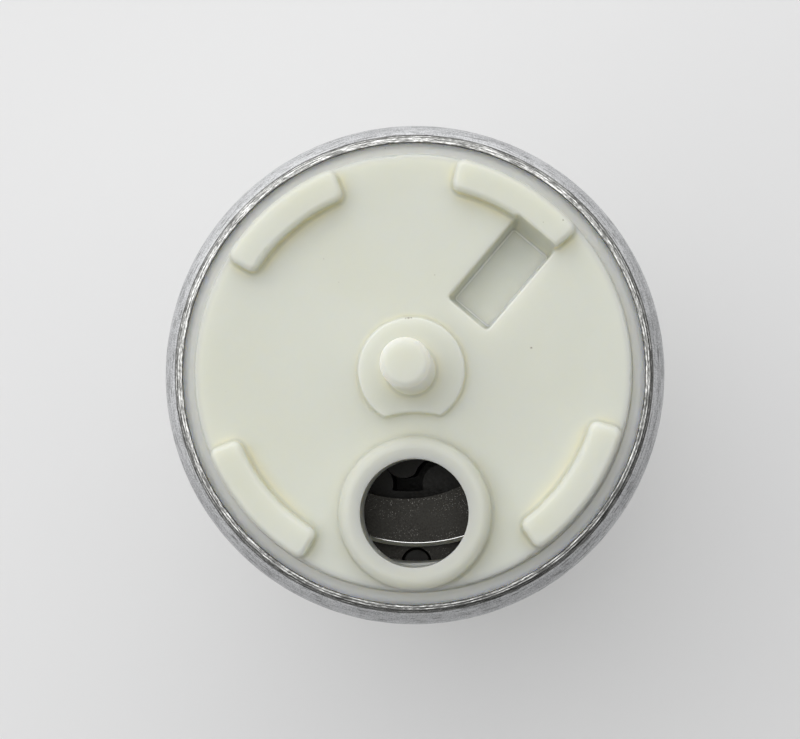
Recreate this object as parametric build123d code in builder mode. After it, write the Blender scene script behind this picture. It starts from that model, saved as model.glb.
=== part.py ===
from build123d import *
import os
from math import atan, cos, pi, radians, sin, sqrt, tan

# In-tank fuel pump: a gerotor and its electric motor in one steel can, inlet end up.
# The origin is on the can's axis, halfway along the can. All sizes are in millimetres.
os.makedirs("parts", exist_ok=True)

# Fits, as radial clearances
running_gap = 0.04
press_gap = 0.02
seat_gap = 0.05

# How far a boss or a cut runs past the face that it meets, and how near counts as level
run_past = 1.0
level_limit = 0.01

# Can
can_radius = 19.5
can_length = 68.0
can_wall = 0.8
can_bore = can_radius - can_wall
lip_bend = 1.42
lip_turn = 64.0
lip_land = 0.25
can_end = can_length / 2
bend_start = can_end - lip_bend * sin(radians(lip_turn)) - lip_land * cos(radians(lip_turn))
# Height of the rolled lip's inner edge, which the cover's heights are counted from
lip_height = can_end - can_wall * sin(radians(lip_turn))

# Inlet cover
cover_radius = 18.6
face_radius = 16.81
face_height = lip_height + 1.9
plate_under = lip_height - 0.1
shoulder_root = 17.0
shoulder_chamfer = 0.6
shoulder_edge = cover_radius - shoulder_chamfer
shoulder_height = lip_height - 0.06
shoulder_rise = 0.2
face_edge_round = 0.25
skirt_bore = 14.75
pad_height = face_height + 1.6
pad_inner = 14.16
pad_outer = 16.68
pad_arcs = [(-55.0, -15.5), (40.0, 77.5), (111.0, 148.5), (201.5, 240.0)]
pad_corner_round = 0.7
pad_top_round = 0.45
foot_margin = 0.18
boss_radius = 4.12
boss_height = face_height + 0.66
boss_cut = 7.65
boss_corner_round = 0.3
boss_edge_round = 0.2
post_radius = 1.84
post_height = face_height + 10.1
post_round = 0.5
inlet_x = 0.3
inlet_y = -10.85
inlet_radius = 4.1
collar_radius = 5.78
collar_height = face_height + 2.4
collar_round = 0.9
pocket_x = 6.88
pocket_y = 7.43
pocket_length = 8.1
pocket_width = 3.95
pocket_angle = 49.5
pocket_end_lean = 7.2
pocket_side_lean = 2.3
pocket_floor = face_height - 3.0
pocket_corner = 0.35
pocket_floor_round = 0.3
pocket_mouth_round = 0.2
pocket_wall = 1.0
root_round = 0.3

# Gerotor
eccentricity = 0.8
tooth_count = 10
lobe_count = tooth_count - 1
tooth_circle = 9.05
tooth_radius = 1.6
tip_gap = 0.05
root_radius = 9.2
outer_rotor_radius = 11.5
rotor_thickness = 5.96
gear_top = lip_height - 8.0
gear_under = gear_top - 6.0
kidney_outer = 9.8
kidney_inner = 6.3
kidney_start = 24.0
kidney_end = 158.0
kidney_round = 0.9
blind_kidney_depth = 1.2
rotor_under = gear_under + (gear_top - gear_under - rotor_thickness) / 2
points_per_lobe = 20
lobe_spread = 0.09

# Port plate, ring and pump body
plate_disc_radius = 13.6
plate_disc_top = lip_height - 4.6
plate_flange_top = lip_height - 6.0
plate_edge = 0.3
plate_hub_bore = 5.3
stack_radius = 18.5
dowel_radius = 1.2
dowel_circle = 14.9
dowel_top = plate_flange_top - 0.5
dowel_under = gear_under - 4.3
dowel_edge = 0.2
body_under = gear_under - 5.8
body_boss_radius = 6.0
body_boss_under = body_under - 2.4

# O-rings
seal_section = 0.9
seal_circle = can_bore - seal_section - seat_gap
seal_groove_radius = seal_circle - seal_section - seat_gap
seal_groove_width = 2.3
body_seal_height = body_under + 2.6
outlet_seal_height = -28.0

# Shaft, bearings and coupling
shaft_radius = 2.5
shaft_top = lip_height - 3.9
shaft_under = -30.4
shaft_flat = 1.9
shaft_edge = 0.4
shaft_hole_gap = 0.2
bearing_radius = 4.2
inlet_bearing_top = gear_under - 0.7
outlet_bearing_top = -25.5
outlet_bearing_under = -31.0
shaft_hole_floor = outlet_bearing_under - 0.4
coupling_radius = 4.9
coupling_top = lip_height - 4.4
coupling_under = gear_top + 0.05
coupling_edge = 0.4
tang_count = 5
tang_circle = 4.35
tang_radius = 0.85
tang_length = 3.5
washer_thickness = 0.4
washer_gap = 0.05
button_radius = 2.4
button_under = shaft_top + 0.1
button_edge = 0.3
socket_radius = 4.0

# Motor
slot_count = 8
core_radius = 12.9
core_top = 5.5
core_under = -14.5
slot_inner = 5.8
slot_outer = 11.2
slot_mouth = 1.9
tooth_neck = 3.0
slot_liner = 0.3
insulator_thickness = 0.8
insulator_inset = 0.15
sleeve_radius = 3.6
upper_sleeve_end = 10.4
lower_sleeve_end = -19.3
end_turn_height = 3.6
end_turn_gap = 0.05
end_turn_root = 0.6
end_turn_inner = 4.6
end_turn_outer = 10.9
magnet_inner = 13.4
magnet_outer = 16.85
magnet_arc = 132.0
magnet_top = 8.5
magnet_under = -17.5
magnet_corner = 0.5
flux_inner = 16.9
flux_outer = can_bore - seat_gap
flux_top = body_under - 0.1
flux_under = -22.0
clip_thickness = 0.5
clip_arc = 46.0
clip_leg = 1.6
clip_inset = 0.8
clip_margin = 3.0

# Commutator and brushes
hub_radius = 10.3
hub_top = -19.4
segment_top = -20.9
segment_under = -23.4
segment_inner = 4.7
segment_gap = 0.5
hub_recess = 0.3
hook_under = segment_top - 0.6
hook_reach = 0.8
hook_width = 1.6
brush_x = 7.25
brush_width = 4.4
brush_depth = 6.0
brush_length = 8.6
brush_face = segment_under - 0.06
brush_gap = 0.06
well_floor = -37.6
brush_back = brush_face - brush_length
brush_edge = 0.25
spigot_radius = 1.1
spigot_length = 0.9
spring_gap = 0.03
brush_coil = 1.75
brush_wire = 0.2
brush_turns = 6
lead_radius = 0.4

# Outlet cover
cap_inner_face = -24.5
cap_rim_top = flux_under - 0.1
cap_rim_bore = 16.2
cap_face = -(lip_height + 2.6)
cap_edge_round = 0.4
block_length = 21.6
block_width = 10.4
block_round = 2.6
block_under = cap_face - 3.6
block_edge_round = 0.6
nipple_y = 10.6
nipple_base_radius = 6.0
nipple_base_under = cap_face - 4.6
nipple_radius = 3.7
barb_radius = 4.45
barb_pitch = 4.0
barb_count = 3
barb_land = 0.6
barb_slope = 2.6
nipple_neck = 3.4
nipple_chamfer = 0.6
nipple_under = cap_face - 20.5
nipple_bore = 2.4
valve_bore = 4.3
valve_floor = -39.0

# Non-return valve
seat_bore = 2.3
seat_top = cap_inner_face - 0.5
seat_thickness = 2.2
seat_under = seat_top - seat_thickness
seat_lead = 0.5
poppet_head = 3.6
poppet_thickness = 1.3
poppet_stem = 0.9
poppet_stem_length = 7.5
poppet_cone = 0.8
poppet_cone_gap = 0.25
poppet_cone_angle = 30.0
poppet_rib = 3.3
poppet_ribs = 4
poppet_rib_width = 0.8
poppet_wing = 4.2
poppet_wing_length = 3.2
valve_wire = 0.22
valve_coil = 2.9
valve_turns = 6

# Relief valve
relief_x = -10.2
relief_y = 7.1
relief_housing = 3.3
relief_bore = 2.1
relief_orifice = 1.1
relief_seat = -28.0
relief_ball_radius = 1.75
ball_gap = 0.03
relief_face = cap_face - 2.6
relief_wire = 0.25
relief_coil = 1.4
relief_turns = 5
relief_plug_length = 3.0
relief_plug_bore = 1.0
relief_plug_recess = 0.3

# Connector
shroud_y = -10.7
shroud_length = 15.4
shroud_width = 9.6
shroud_wall = 1.3
shroud_round = 2.2
shroud_inner_round = 1.2
shroud_rim_round = 0.3
shroud_under = cap_face - 12.5
socket_floor = cap_face + 0.6
terminal_x = 3.9
terminal_width = 2.8
terminal_thickness = 0.8
terminal_under = cap_face - 10.5
latch_width = 5.0
latch_height = 0.9
latch_top = cap_face - 5.0
latch_land = 0.6
latch_length = 3.0
terminal_chamfer = 0.25

# Chokes
choke_x = 9.7
choke_y = -9.1
choke_well = 2.85
choke_core_radius = 1.6
choke_wire = 0.35
choke_coil = 2.1
choke_turns = 7
choke_top = cap_inner_face - 0.6
choke_floor = -34.5
strap_thickness = 0.5
strap_top = cap_inner_face + strap_thickness
strap_width = 1.6
strap_reach = 6.4

# Strips from the brush wells' floors up to the chokes' wells
jumper_gap = 0.05
jumper_thickness = 0.4
jumper_lift = jumper_thickness + 2 * jumper_gap
choke_under = choke_floor + jumper_lift
jumper_length = sqrt((choke_x - brush_x) ** 2 + choke_y ** 2)
jumper_rise = 4.1
jumper_start = -0.5
jumper_stop = jumper_length - 0.8


def polar_point(radius, angle):
    return (radius * cos(radians(angle)), radius * sin(radians(angle)))


def arc_band(inner, outer, start, end, outer_x=0.0):
    """Ring sector between two angles, its outer edge drawn about a centre at outer_x."""
    angles = (start, (start + end) / 2, end)

    def outer_point(angle):
        x, y = polar_point(outer, angle)
        return (x + outer_x, y)

    with BuildSketch() as band:
        with BuildLine():
            outside = ThreePointArc(*[outer_point(angle) for angle in angles])
            inside = ThreePointArc(*[polar_point(inner, angle) for angle in angles])
            Line(outside @ 0, inside @ 0)
            Line(outside @ 1, inside @ 1)
        make_face()
    return band.sketch


def kidney(start, end):
    """Port between the rotors' valleys: inner edge about the shaft, outer edge about the outer rotor."""
    with BuildSketch() as port:
        add(arc_band(kidney_inner, kidney_outer, start, end, -eccentricity))
        fillet(port.vertices(), kidney_round)
    return port.sketch


def slot_shape(inset):
    """The armature's slots, drawn in by a margin."""
    half_inner = slot_inner * tan(pi / slot_count) - tooth_neck / 2 / cos(pi / slot_count) - inset
    half_outer = slot_outer * tan(pi / slot_count) - tooth_neck / 2 / cos(pi / slot_count) - inset
    with BuildSketch() as slots:
        with PolarLocations(0, slot_count):
            with BuildLine():
                Polyline(
                    (slot_inner + inset, -half_inner), (slot_outer - inset, -half_outer),
                    (slot_outer - inset, half_outer), (slot_inner + inset, half_inner), close=True,
                )
            make_face()
    return slots.sketch


def core_outline(inset):
    """Round section with slots open at the rim."""
    with BuildSketch() as outline:
        Circle(core_radius - inset)
        add(slot_shape(inset), mode=Mode.SUBTRACT)
        with PolarLocations((slot_outer + core_radius) / 2, slot_count):
            Rectangle(core_radius - slot_outer + run_past, slot_mouth + 2 * inset, mode=Mode.SUBTRACT)
        Circle(shaft_radius + press_gap, mode=Mode.SUBTRACT)
    return outline.sketch


def flatted_circle(gap):
    """The shaft's section at its flat, with a gap all round."""
    with BuildSketch() as section:
        Circle(shaft_radius + gap)
        with Locations((shaft_flat + gap, 0)):
            Rectangle(shaft_radius, 4 * shaft_radius, align=(Align.MIN, Align.CENTER), mode=Mode.SUBTRACT)
    return section.sketch


def edges_between(piece, height, near, far):
    """Edges at a height whose middles lie between two distances from the axis."""
    def belongs(edge):
        middle = edge @ 0.5
        level = abs(middle.Z - height) < level_limit
        return level and near < sqrt(middle.X ** 2 + middle.Y ** 2) < far

    return piece.edges().filter_by(belongs)


def lobe_point(share):
    """Inner rotor's edge, rolled out by the outer rotor's round teeth, with even steps along it."""
    turn = share - lobe_spread * sin(lobe_count * share)
    reach = tooth_circle / (eccentricity * tooth_count)
    lean = atan(sin((1 - tooth_count) * turn) / (reach - cos((1 - tooth_count) * turn)))
    cutter = tooth_radius + tip_gap
    x = tooth_circle * cos(turn) - cutter * cos(turn + lean) - eccentricity * cos(tooth_count * turn)
    y = -tooth_circle * sin(turn) + cutter * sin(turn + lean) + eccentricity * sin(tooth_count * turn)
    return (x, y)


def coil_spring(radius, wire, bottom, top, turns, x, y):
    """Open coil with its axis along the can."""
    height = top - bottom - 2 * wire
    with BuildPart() as coil:
        with BuildLine() as path:
            Helix(pitch=height / turns, height=height, radius=radius, center=(x, y, bottom + wire))
        with BuildSketch(Plane(origin=path.line @ 0, z_dir=path.line % 0)):
            Circle(wire)
        sweep(is_frenet=True)
    return coil


def jumper_plane(side):
    """Upright plane from a brush well's axis to its choke's axis."""
    along = Vector(side * (choke_x - brush_x), choke_y, 0)
    return Plane(origin=(side * brush_x, 0, 0), x_dir=along, z_dir=along.cross(Vector(0, 0, 1)))


def jumper_shape(gap):
    """Strip that lies on the brush well's floor, rises, and lies on the choke well's floor."""
    low = well_floor + jumper_gap - gap
    high = choke_floor + jumper_gap - gap
    thick = jumper_thickness + 2 * gap
    with BuildSketch() as strip:
        with BuildLine():
            Polyline(
                (jumper_start - gap, low), (jumper_rise + gap, low), (jumper_rise + gap, high),
                (jumper_stop + gap, high), (jumper_stop + gap, high + thick),
                (jumper_rise + gap - thick, high + thick), (jumper_rise + gap - thick, low + thick),
                (jumper_start - gap, low + thick), close=True,
            )
        make_face()
    return strip.sketch


# Steel can, its sheared edges rolled in over both end mouldings
with BuildPart() as can:
    with BuildSketch(Plane.XZ):
        with BuildLine():
            outer_wall = Line((can_radius, 0), (can_radius, bend_start))
            outer_bend = JernArc(outer_wall @ 1, (0, 1), lip_bend, lip_turn)
            outer_lip = Line(outer_bend @ 1, outer_bend @ 1 + (outer_bend % 1) * lip_land)
            inner_wall = Line((can_bore, 0), (can_bore, bend_start))
            inner_bend = JernArc(inner_wall @ 1, (0, 1), lip_bend - can_wall, lip_turn)
            inner_lip = Line(inner_bend @ 1, inner_bend @ 1 + (inner_bend % 1) * lip_land)
            Line(outer_lip @ 1, inner_lip @ 1)
            Line(outer_wall @ 0, inner_wall @ 0)
        make_face()
        mirror(about=Plane.XZ)
    revolve(axis=Axis.Z)
can.part.label = "can"
export_step(can.part, "parts/can.step")

# Hollow round at the collar's foot, kept within the cover's flat face
with BuildPart() as collar_foot:
    foot_wall = inlet_x + collar_radius
    foot_turn = root_round * (1 - sqrt(0.5))
    with BuildSketch(Plane.XZ.offset(-inlet_y)):
        with BuildLine():
            ThreePointArc(
                (foot_wall + root_round, face_height),
                (foot_wall + foot_turn, face_height + foot_turn),
                (foot_wall, face_height + root_round),
            )
            Polyline(
                (foot_wall, face_height + root_round), (foot_wall - root_round, face_height + root_round),
                (foot_wall - root_round, face_height - root_round),
                (foot_wall + root_round, face_height - root_round), (foot_wall + root_round, face_height),
            )
        make_face()
    revolve(axis=Axis((inlet_x, inlet_y, 0), (0, 0, 1)))
    with BuildSketch(Plane.XY.offset(face_height - run_past)):
        Circle(face_radius - face_edge_round)
    extrude(amount=2 * run_past, mode=Mode.INTERSECT)

# Room of the locating pocket: its walls lean out so that the mould parts from them
with BuildPart() as pocket_room:
    for plane, size, lean, mode in (
        (Plane.XZ, pocket_length, pocket_end_lean, Mode.ADD),
        (Plane.YZ, pocket_width, pocket_side_lean, Mode.INTERSECT),
    ):
        low = size / 2 - (face_height - pocket_floor) * tan(radians(lean))
        high = size / 2 + (pad_height - face_height) * tan(radians(lean))
        with BuildSketch(plane):
            Polygon(
                (-low, pocket_floor), (low, pocket_floor), (high, pad_height), (-high, pad_height),
                align=None,
            )
        extrude(amount=pocket_length, both=True, mode=mode)
    fillet(pocket_room.edges().filter_by(lambda edge: abs((edge % 0.5).Z) > 0.5), pocket_corner)

# Inlet cover: a plate and skirt, with pads, boss, post, collar and pocket moulded on
with BuildPart() as inlet_cover:
    with BuildSketch(Plane.XZ):
        with BuildLine():
            Polyline(
                (0, plate_under), (skirt_bore, plate_under), (skirt_bore, plate_flange_top),
                (cover_radius, plate_flange_top), (cover_radius, shoulder_height - shoulder_chamfer),
                (shoulder_edge, shoulder_height), (shoulder_root, shoulder_height + shoulder_rise),
                (face_radius, face_height), (0, face_height), close=True,
            )
        make_face()
    revolve(axis=Axis.Z)
    face_rim = inlet_cover.edges().filter_by(GeomType.CIRCLE).group_by(Axis.Z)[-1]
    fillet(face_rim, face_edge_round)

    with BuildSketch(Plane.XY.offset(face_height - run_past)) as pads:
        for start, end in pad_arcs:
            add(arc_band(pad_inner, pad_outer, start, end))
        fillet(pads.vertices(), pad_corner_round)
    extrude(amount=pad_height - face_height + run_past)
    fillet(inlet_cover.faces().group_by(Axis.Z)[-1].edges(), pad_top_round)
    pad_feet = edges_between(inlet_cover, face_height, skirt_bore - run_past, pad_outer - foot_margin)
    fillet(pad_feet, root_round)

    with BuildSketch(Plane.XY.offset(face_height)) as boss_outline:
        Circle(boss_radius)
        with Locations((inlet_x, inlet_y)):
            Circle(boss_cut, mode=Mode.SUBTRACT)
        fillet(boss_outline.vertices(), boss_corner_round)
    extrude(amount=boss_height - face_height)
    for height in (boss_height, face_height):
        fillet(edges_between(inlet_cover, height, 0, boss_radius + run_past), boss_edge_round)

    with BuildSketch(Plane.XY.offset(face_height)):
        with Locations((inlet_x, inlet_y)):
            Circle(collar_radius)
    extrude(amount=collar_height - face_height)
    fillet(inlet_cover.faces().sort_by(Axis.Z)[-1].edges(), collar_round)
    add(collar_foot.part)

    with BuildSketch(Plane.XY.offset(face_height)):
        Circle(post_radius)
    extrude(amount=post_height - face_height)
    fillet(inlet_cover.faces().sort_by(Axis.Z)[-1].edges(), post_round)
    fillet(edges_between(inlet_cover, boss_height, 0, post_radius + root_round), root_round)

    # The pocket's box hangs below the plate, so its floor stays closed
    with BuildSketch(Plane.XY.offset(plate_under)):
        with Locations(Location((pocket_x, pocket_y, 0), pocket_angle)):
            Rectangle(pocket_length + 2 * pocket_wall, pocket_width + 2 * pocket_wall)
    extrude(amount=pocket_floor - pocket_wall - plate_under)

    # Socket under the plate for the thrust button
    with BuildSketch(Plane.XY.offset(button_under)):
        Circle(socket_radius)
        Circle(button_radius + press_gap, mode=Mode.SUBTRACT)
    extrude(amount=plate_under - button_under)

    with BuildSketch(Plane.XY.offset(collar_height)):
        with Locations((inlet_x, inlet_y)):
            Circle(inlet_radius)
    extrude(amount=plate_under - collar_height, mode=Mode.SUBTRACT)
    # The pocket is cut from above, because its outer end runs through the foot of a pad
    add(pocket_room.part.moved(Location((pocket_x, pocket_y, 0), pocket_angle)), mode=Mode.SUBTRACT)
    fillet(edges_between(inlet_cover, pocket_floor, 0, pad_inner), pocket_floor_round)
    pocket_mouth = edges_between(inlet_cover, face_height, boss_radius + run_past, -inlet_y)
    fillet(pocket_mouth.filter_by(GeomType.LINE), pocket_mouth_round)
inlet_cover.part.label = "inlet_cover"
export_step(inlet_cover.part, "parts/inlet_cover.step")

# Button in the cover that the shaft's end runs on
with BuildPart() as thrust_button:
    with BuildSketch(Plane.XY.offset(button_under)):
        Circle(button_radius)
    extrude(amount=plate_under - button_under)
    chamfer(thrust_button.edges().group_by(Axis.Z)[0], button_edge)
thrust_button.part.label = "thrust_button"
export_step(thrust_button.part, "parts/thrust_button.step")

# Port plate: a flange under the cover's skirt, and a raised disc with the suction kidney
with BuildPart() as port_plate:
    with BuildSketch(Plane.XY.offset(gear_top)):
        Circle(stack_radius)
    extrude(amount=plate_flange_top - gear_top)
    with BuildSketch(Plane.XY.offset(plate_flange_top)):
        Circle(plate_disc_radius)
    extrude(amount=plate_disc_top - plate_flange_top)
    chamfer(port_plate.edges().group_by(Axis.Z)[-1], plate_edge)
    with BuildSketch(Plane.XY.offset(gear_top)):
        Circle(plate_hub_bore)
        add(kidney(-kidney_end, -kidney_start))
        with PolarLocations(dowel_circle, 2, start_angle=90):
            Circle(dowel_radius + press_gap)
    extrude(amount=plate_disc_top - gear_top, mode=Mode.SUBTRACT)
    # Blind kidney opposite the pressure port, which balances the rotors
    with BuildSketch(Plane.XY.offset(gear_top)):
        add(kidney(kidney_start, kidney_end))
    extrude(amount=blind_kidney_depth, mode=Mode.SUBTRACT)
port_plate.part.label = "port_plate"
export_step(port_plate.part, "parts/port_plate.step")

# Eccentric ring
with BuildPart() as gerotor_ring:
    with BuildSketch(Plane.XY.offset(gear_under)):
        Circle(stack_radius)
        with Locations((-eccentricity, 0)):
            Circle(outer_rotor_radius + running_gap, mode=Mode.SUBTRACT)
        with PolarLocations(dowel_circle, 2, start_angle=90):
            Circle(dowel_radius + press_gap, mode=Mode.SUBTRACT)
    extrude(amount=gear_top - gear_under)
gerotor_ring.part.label = "gerotor_ring"
export_step(gerotor_ring.part, "parts/gerotor_ring.step")

# Outer rotor: a ring with round teeth inside
with BuildPart() as gerotor_outer:
    with BuildSketch(Plane.XY.offset(rotor_under)):
        with Locations((-eccentricity, 0)):
            Circle(outer_rotor_radius)
            Circle(root_radius, mode=Mode.SUBTRACT)
            with PolarLocations(tooth_circle, tooth_count):
                Circle(tooth_radius)
    extrude(amount=rotor_thickness)
gerotor_outer.part.label = "gerotor_outer"
export_step(gerotor_outer.part, "parts/gerotor_outer.step")

# Inner rotor: one lobe fewer, with holes for the coupling's tangs
with BuildPart() as gerotor_inner:
    with BuildSketch(Plane.XY.offset(rotor_under)):
        with BuildLine():
            steps = lobe_count * points_per_lobe
            Spline([lobe_point(2 * pi * step / steps) for step in range(steps)], periodic=True)
        make_face()
        Circle(shaft_radius + press_gap, mode=Mode.SUBTRACT)
        with PolarLocations(tang_circle, tang_count):
            Circle(tang_radius + running_gap, mode=Mode.SUBTRACT)
    extrude(amount=rotor_thickness)
gerotor_inner.part.label = "gerotor_inner"
export_step(gerotor_inner.part, "parts/gerotor_inner.step")

# Coupling: a flatted hub over the shaft's end, with tangs down into the inner rotor
with BuildPart() as drive_coupling:
    with BuildSketch(Plane.XY.offset(coupling_under)):
        Circle(coupling_radius)
        add(flatted_circle(press_gap), mode=Mode.SUBTRACT)
    extrude(amount=coupling_top - coupling_under)
    chamfer(drive_coupling.edges().filter_by(GeomType.CIRCLE).group_by(Axis.Z)[-1], coupling_edge)
    with BuildSketch(Plane.XY.offset(coupling_under)):
        with PolarLocations(tang_circle, tang_count):
            Circle(tang_radius)
    extrude(amount=-tang_length)
drive_coupling.part.label = "drive_coupling"
export_step(drive_coupling.part, "parts/drive_coupling.step")

# Pump body: pressure kidney, bearing seat and O-ring groove
with BuildPart() as pump_body:
    with BuildSketch(Plane.XY.offset(body_under)):
        Circle(stack_radius)
    extrude(amount=gear_under - body_under)
    with BuildSketch(Plane.XY.offset(body_boss_under)):
        Circle(body_boss_radius)
    extrude(amount=body_under - body_boss_under)
    fillet(pump_body.edges().group_by(Axis.Z)[0], boss_corner_round)
    with BuildSketch(Plane.XY.offset(body_boss_under)):
        Circle(bearing_radius + press_gap)
    extrude(amount=inlet_bearing_top - body_boss_under, mode=Mode.SUBTRACT)
    with BuildSketch(Plane.XY.offset(body_boss_under)):
        Circle(shaft_radius + shaft_hole_gap)
        add(kidney(kidney_start, kidney_end))
    extrude(amount=gear_under - body_boss_under, mode=Mode.SUBTRACT)
    with BuildSketch(Plane.XY.offset(gear_under)):
        add(kidney(-kidney_end, -kidney_start))
    extrude(amount=-blind_kidney_depth, mode=Mode.SUBTRACT)
    with BuildSketch(Plane.XY.offset(dowel_under)):
        with PolarLocations(dowel_circle, 2, start_angle=90):
            Circle(dowel_radius + press_gap)
    extrude(amount=gear_under - dowel_under, mode=Mode.SUBTRACT)
    with BuildSketch(Plane.XY.offset(body_seal_height - seal_groove_width / 2)):
        Circle(can_radius)
        Circle(seal_groove_radius, mode=Mode.SUBTRACT)
    extrude(amount=seal_groove_width, mode=Mode.SUBTRACT)
pump_body.part.label = "pump_body"
export_step(pump_body.part, "parts/pump_body.step")

# Dowel pins through port plate, ring and body
with BuildPart() as dowel_pins:
    with BuildSketch(Plane.XY.offset(dowel_under)):
        with PolarLocations(dowel_circle, 2, start_angle=90):
            Circle(dowel_radius)
    extrude(amount=dowel_top - dowel_under)
    chamfer(dowel_pins.edges().group_by(Axis.Z)[-1], dowel_edge)
dowel_pins.part.label = "dowel_pins"
export_step(dowel_pins.part, "parts/dowel_pins.step")

# O-rings between the can and the two ends of the pressure space
for name, height in (("body_seal", body_seal_height), ("outlet_seal", outlet_seal_height)):
    with BuildPart() as seal:
        with BuildSketch(Plane.XZ):
            with Locations((seal_circle, height)):
                Circle(seal_section)
        revolve(axis=Axis.Z)
    seal.part.label = name
    export_step(seal.part, f"parts/{name}.step")

# Bearing bushes
bushes = (
    ("inlet_bearing", body_boss_under, inlet_bearing_top),
    ("outlet_bearing", outlet_bearing_under, outlet_bearing_top),
)
for name, under, top in bushes:
    with BuildPart() as bush:
        with BuildSketch(Plane.XY.offset(under)):
            Circle(bearing_radius)
            Circle(shaft_radius + running_gap, mode=Mode.SUBTRACT)
        extrude(amount=top - under)
    bush.part.label = name
    export_step(bush.part, f"parts/{name}.step")

# Shaft, with a flat at its inlet end
with BuildPart() as armature_shaft:
    with BuildSketch(Plane.XY.offset(shaft_under)):
        Circle(shaft_radius)
    extrude(amount=shaft_top - shaft_under)
    chamfer(armature_shaft.edges().filter_by(GeomType.CIRCLE), shaft_edge)
    with BuildSketch(Plane.XY.offset(gear_top)):
        with Locations((shaft_flat, 0)):
            Rectangle(shaft_radius, 2 * shaft_radius, align=(Align.MIN, Align.CENTER))
    extrude(amount=shaft_top - gear_top, mode=Mode.SUBTRACT)
armature_shaft.part.label = "armature_shaft"
export_step(armature_shaft.part, "parts/armature_shaft.step")

# Laminated core, its slots open at the rim
with BuildPart() as armature_core:
    with BuildSketch(Plane.XY.offset(core_under)):
        add(core_outline(0))
    extrude(amount=core_top - core_under)
armature_core.part.label = "armature_core"
export_step(armature_core.part, "parts/armature_core.step")

# End insulators: the core's outline in plastic, with a sleeve along the shaft
with BuildPart() as core_insulators:
    sleeves = ((core_top, upper_sleeve_end), (core_under - insulator_thickness, lower_sleeve_end))
    for under, sleeve_end in sleeves:
        with BuildSketch(Plane.XY.offset(under)):
            add(core_outline(insulator_inset))
        extrude(amount=insulator_thickness)
        with BuildSketch(Plane.XY.offset(under)):
            Circle(sleeve_radius)
            Circle(shaft_radius + press_gap, mode=Mode.SUBTRACT)
        extrude(amount=sleeve_end - under)
core_insulators.part.label = "core_insulators"
export_step(core_insulators.part, "parts/core_insulators.step")

# Windings: a bundle in each slot, and the end turns over the insulators
with BuildPart() as armature_windings:
    with BuildSketch(Plane.XY.offset(core_under - insulator_thickness - end_turn_root)):
        add(slot_shape(slot_liner))
    extrude(amount=core_top - core_under + 2 * insulator_thickness + 2 * end_turn_root)
    end_turns = ((core_top + insulator_thickness, 1), (core_under - insulator_thickness, -1))
    for height, way in end_turns:
        near = height + way * end_turn_gap
        far = height + way * end_turn_height
        with BuildSketch(Plane.XZ):
            with BuildLine():
                shelf = Line((end_turn_inner, near), (end_turn_outer, near))
                outside = Line(shelf @ 1, (end_turn_outer, (near + far) / 2))
                inside = Line(shelf @ 0, (end_turn_inner, (near + far) / 2))
                ThreePointArc(inside @ 1, ((end_turn_inner + end_turn_outer) / 2, far), outside @ 1)
            make_face()
        revolve(axis=Axis.Z)
armature_windings.part.label = "armature_windings"
export_step(armature_windings.part, "parts/armature_windings.step")

# Thrust washers on the shaft, one at each bearing
with BuildPart() as thrust_washers:
    for under in (body_boss_under - washer_thickness - washer_gap, outlet_bearing_top + washer_gap):
        with BuildSketch(Plane.XY.offset(under)):
            Circle(bearing_radius)
            Circle(shaft_radius + press_gap, mode=Mode.SUBTRACT)
        extrude(amount=washer_thickness)
thrust_washers.part.label = "thrust_washers"
export_step(thrust_washers.part, "parts/thrust_washers.step")

# Commutator: a plastic hub, carbon segments on its underside and a copper hook for each
with BuildPart() as commutator_hub:
    with BuildSketch(Plane.XY.offset(segment_top)):
        Circle(hub_radius)
    extrude(amount=hub_top - segment_top)
    with BuildSketch(Plane.XY.offset(segment_under + hub_recess)):
        Circle(segment_inner - seat_gap)
    extrude(amount=segment_top - segment_under - hub_recess)
    with BuildSketch(Plane.XY.offset(segment_under)):
        Circle(shaft_radius + press_gap)
    extrude(amount=hub_top - segment_under, mode=Mode.SUBTRACT)
commutator_hub.part.label = "commutator_hub"
export_step(commutator_hub.part, "parts/commutator_hub.step")

with BuildPart() as commutator_segments:
    with BuildSketch(Plane.XY.offset(segment_under)):
        Circle(hub_radius)
        Circle(segment_inner, mode=Mode.SUBTRACT)
        for cut in range(slot_count // 2):
            turn = 360 / slot_count * (cut + 0.5)
            Rectangle(2 * can_radius, segment_gap, rotation=turn, mode=Mode.SUBTRACT)
    extrude(amount=segment_top - segment_under)
commutator_segments.part.label = "commutator_segments"
export_step(commutator_segments.part, "parts/commutator_segments.step")

with BuildPart() as commutator_hooks:
    with BuildSketch(Plane.XY.offset(hook_under)):
        with PolarLocations(hub_radius + seat_gap + hook_reach / 2, slot_count):
            Rectangle(hook_reach, hook_width)
    extrude(amount=hub_top - hook_under)
commutator_hooks.part.label = "commutator_hooks"
export_step(commutator_hooks.part, "parts/commutator_hooks.step")

# Field: flux ring, two magnets and the clips that spread them
with BuildPart() as flux_ring:
    with BuildSketch(Plane.XY.offset(flux_under)):
        Circle(flux_outer)
        Circle(flux_inner, mode=Mode.SUBTRACT)
    extrude(amount=flux_top - flux_under)
flux_ring.part.label = "flux_ring"
export_step(flux_ring.part, "parts/flux_ring.step")

for name, middle in (("magnet_north", 0), ("magnet_south", 180)):
    with BuildPart() as magnet:
        with BuildSketch(Plane.XY.offset(magnet_under)) as magnet_section:
            add(arc_band(magnet_inner, magnet_outer, middle - magnet_arc / 2, middle + magnet_arc / 2))
            fillet(magnet_section.vertices(), magnet_corner)
        extrude(amount=magnet_top - magnet_under)
    magnet.part.label = name
    export_step(magnet.part, f"parts/{name}.step")

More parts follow.
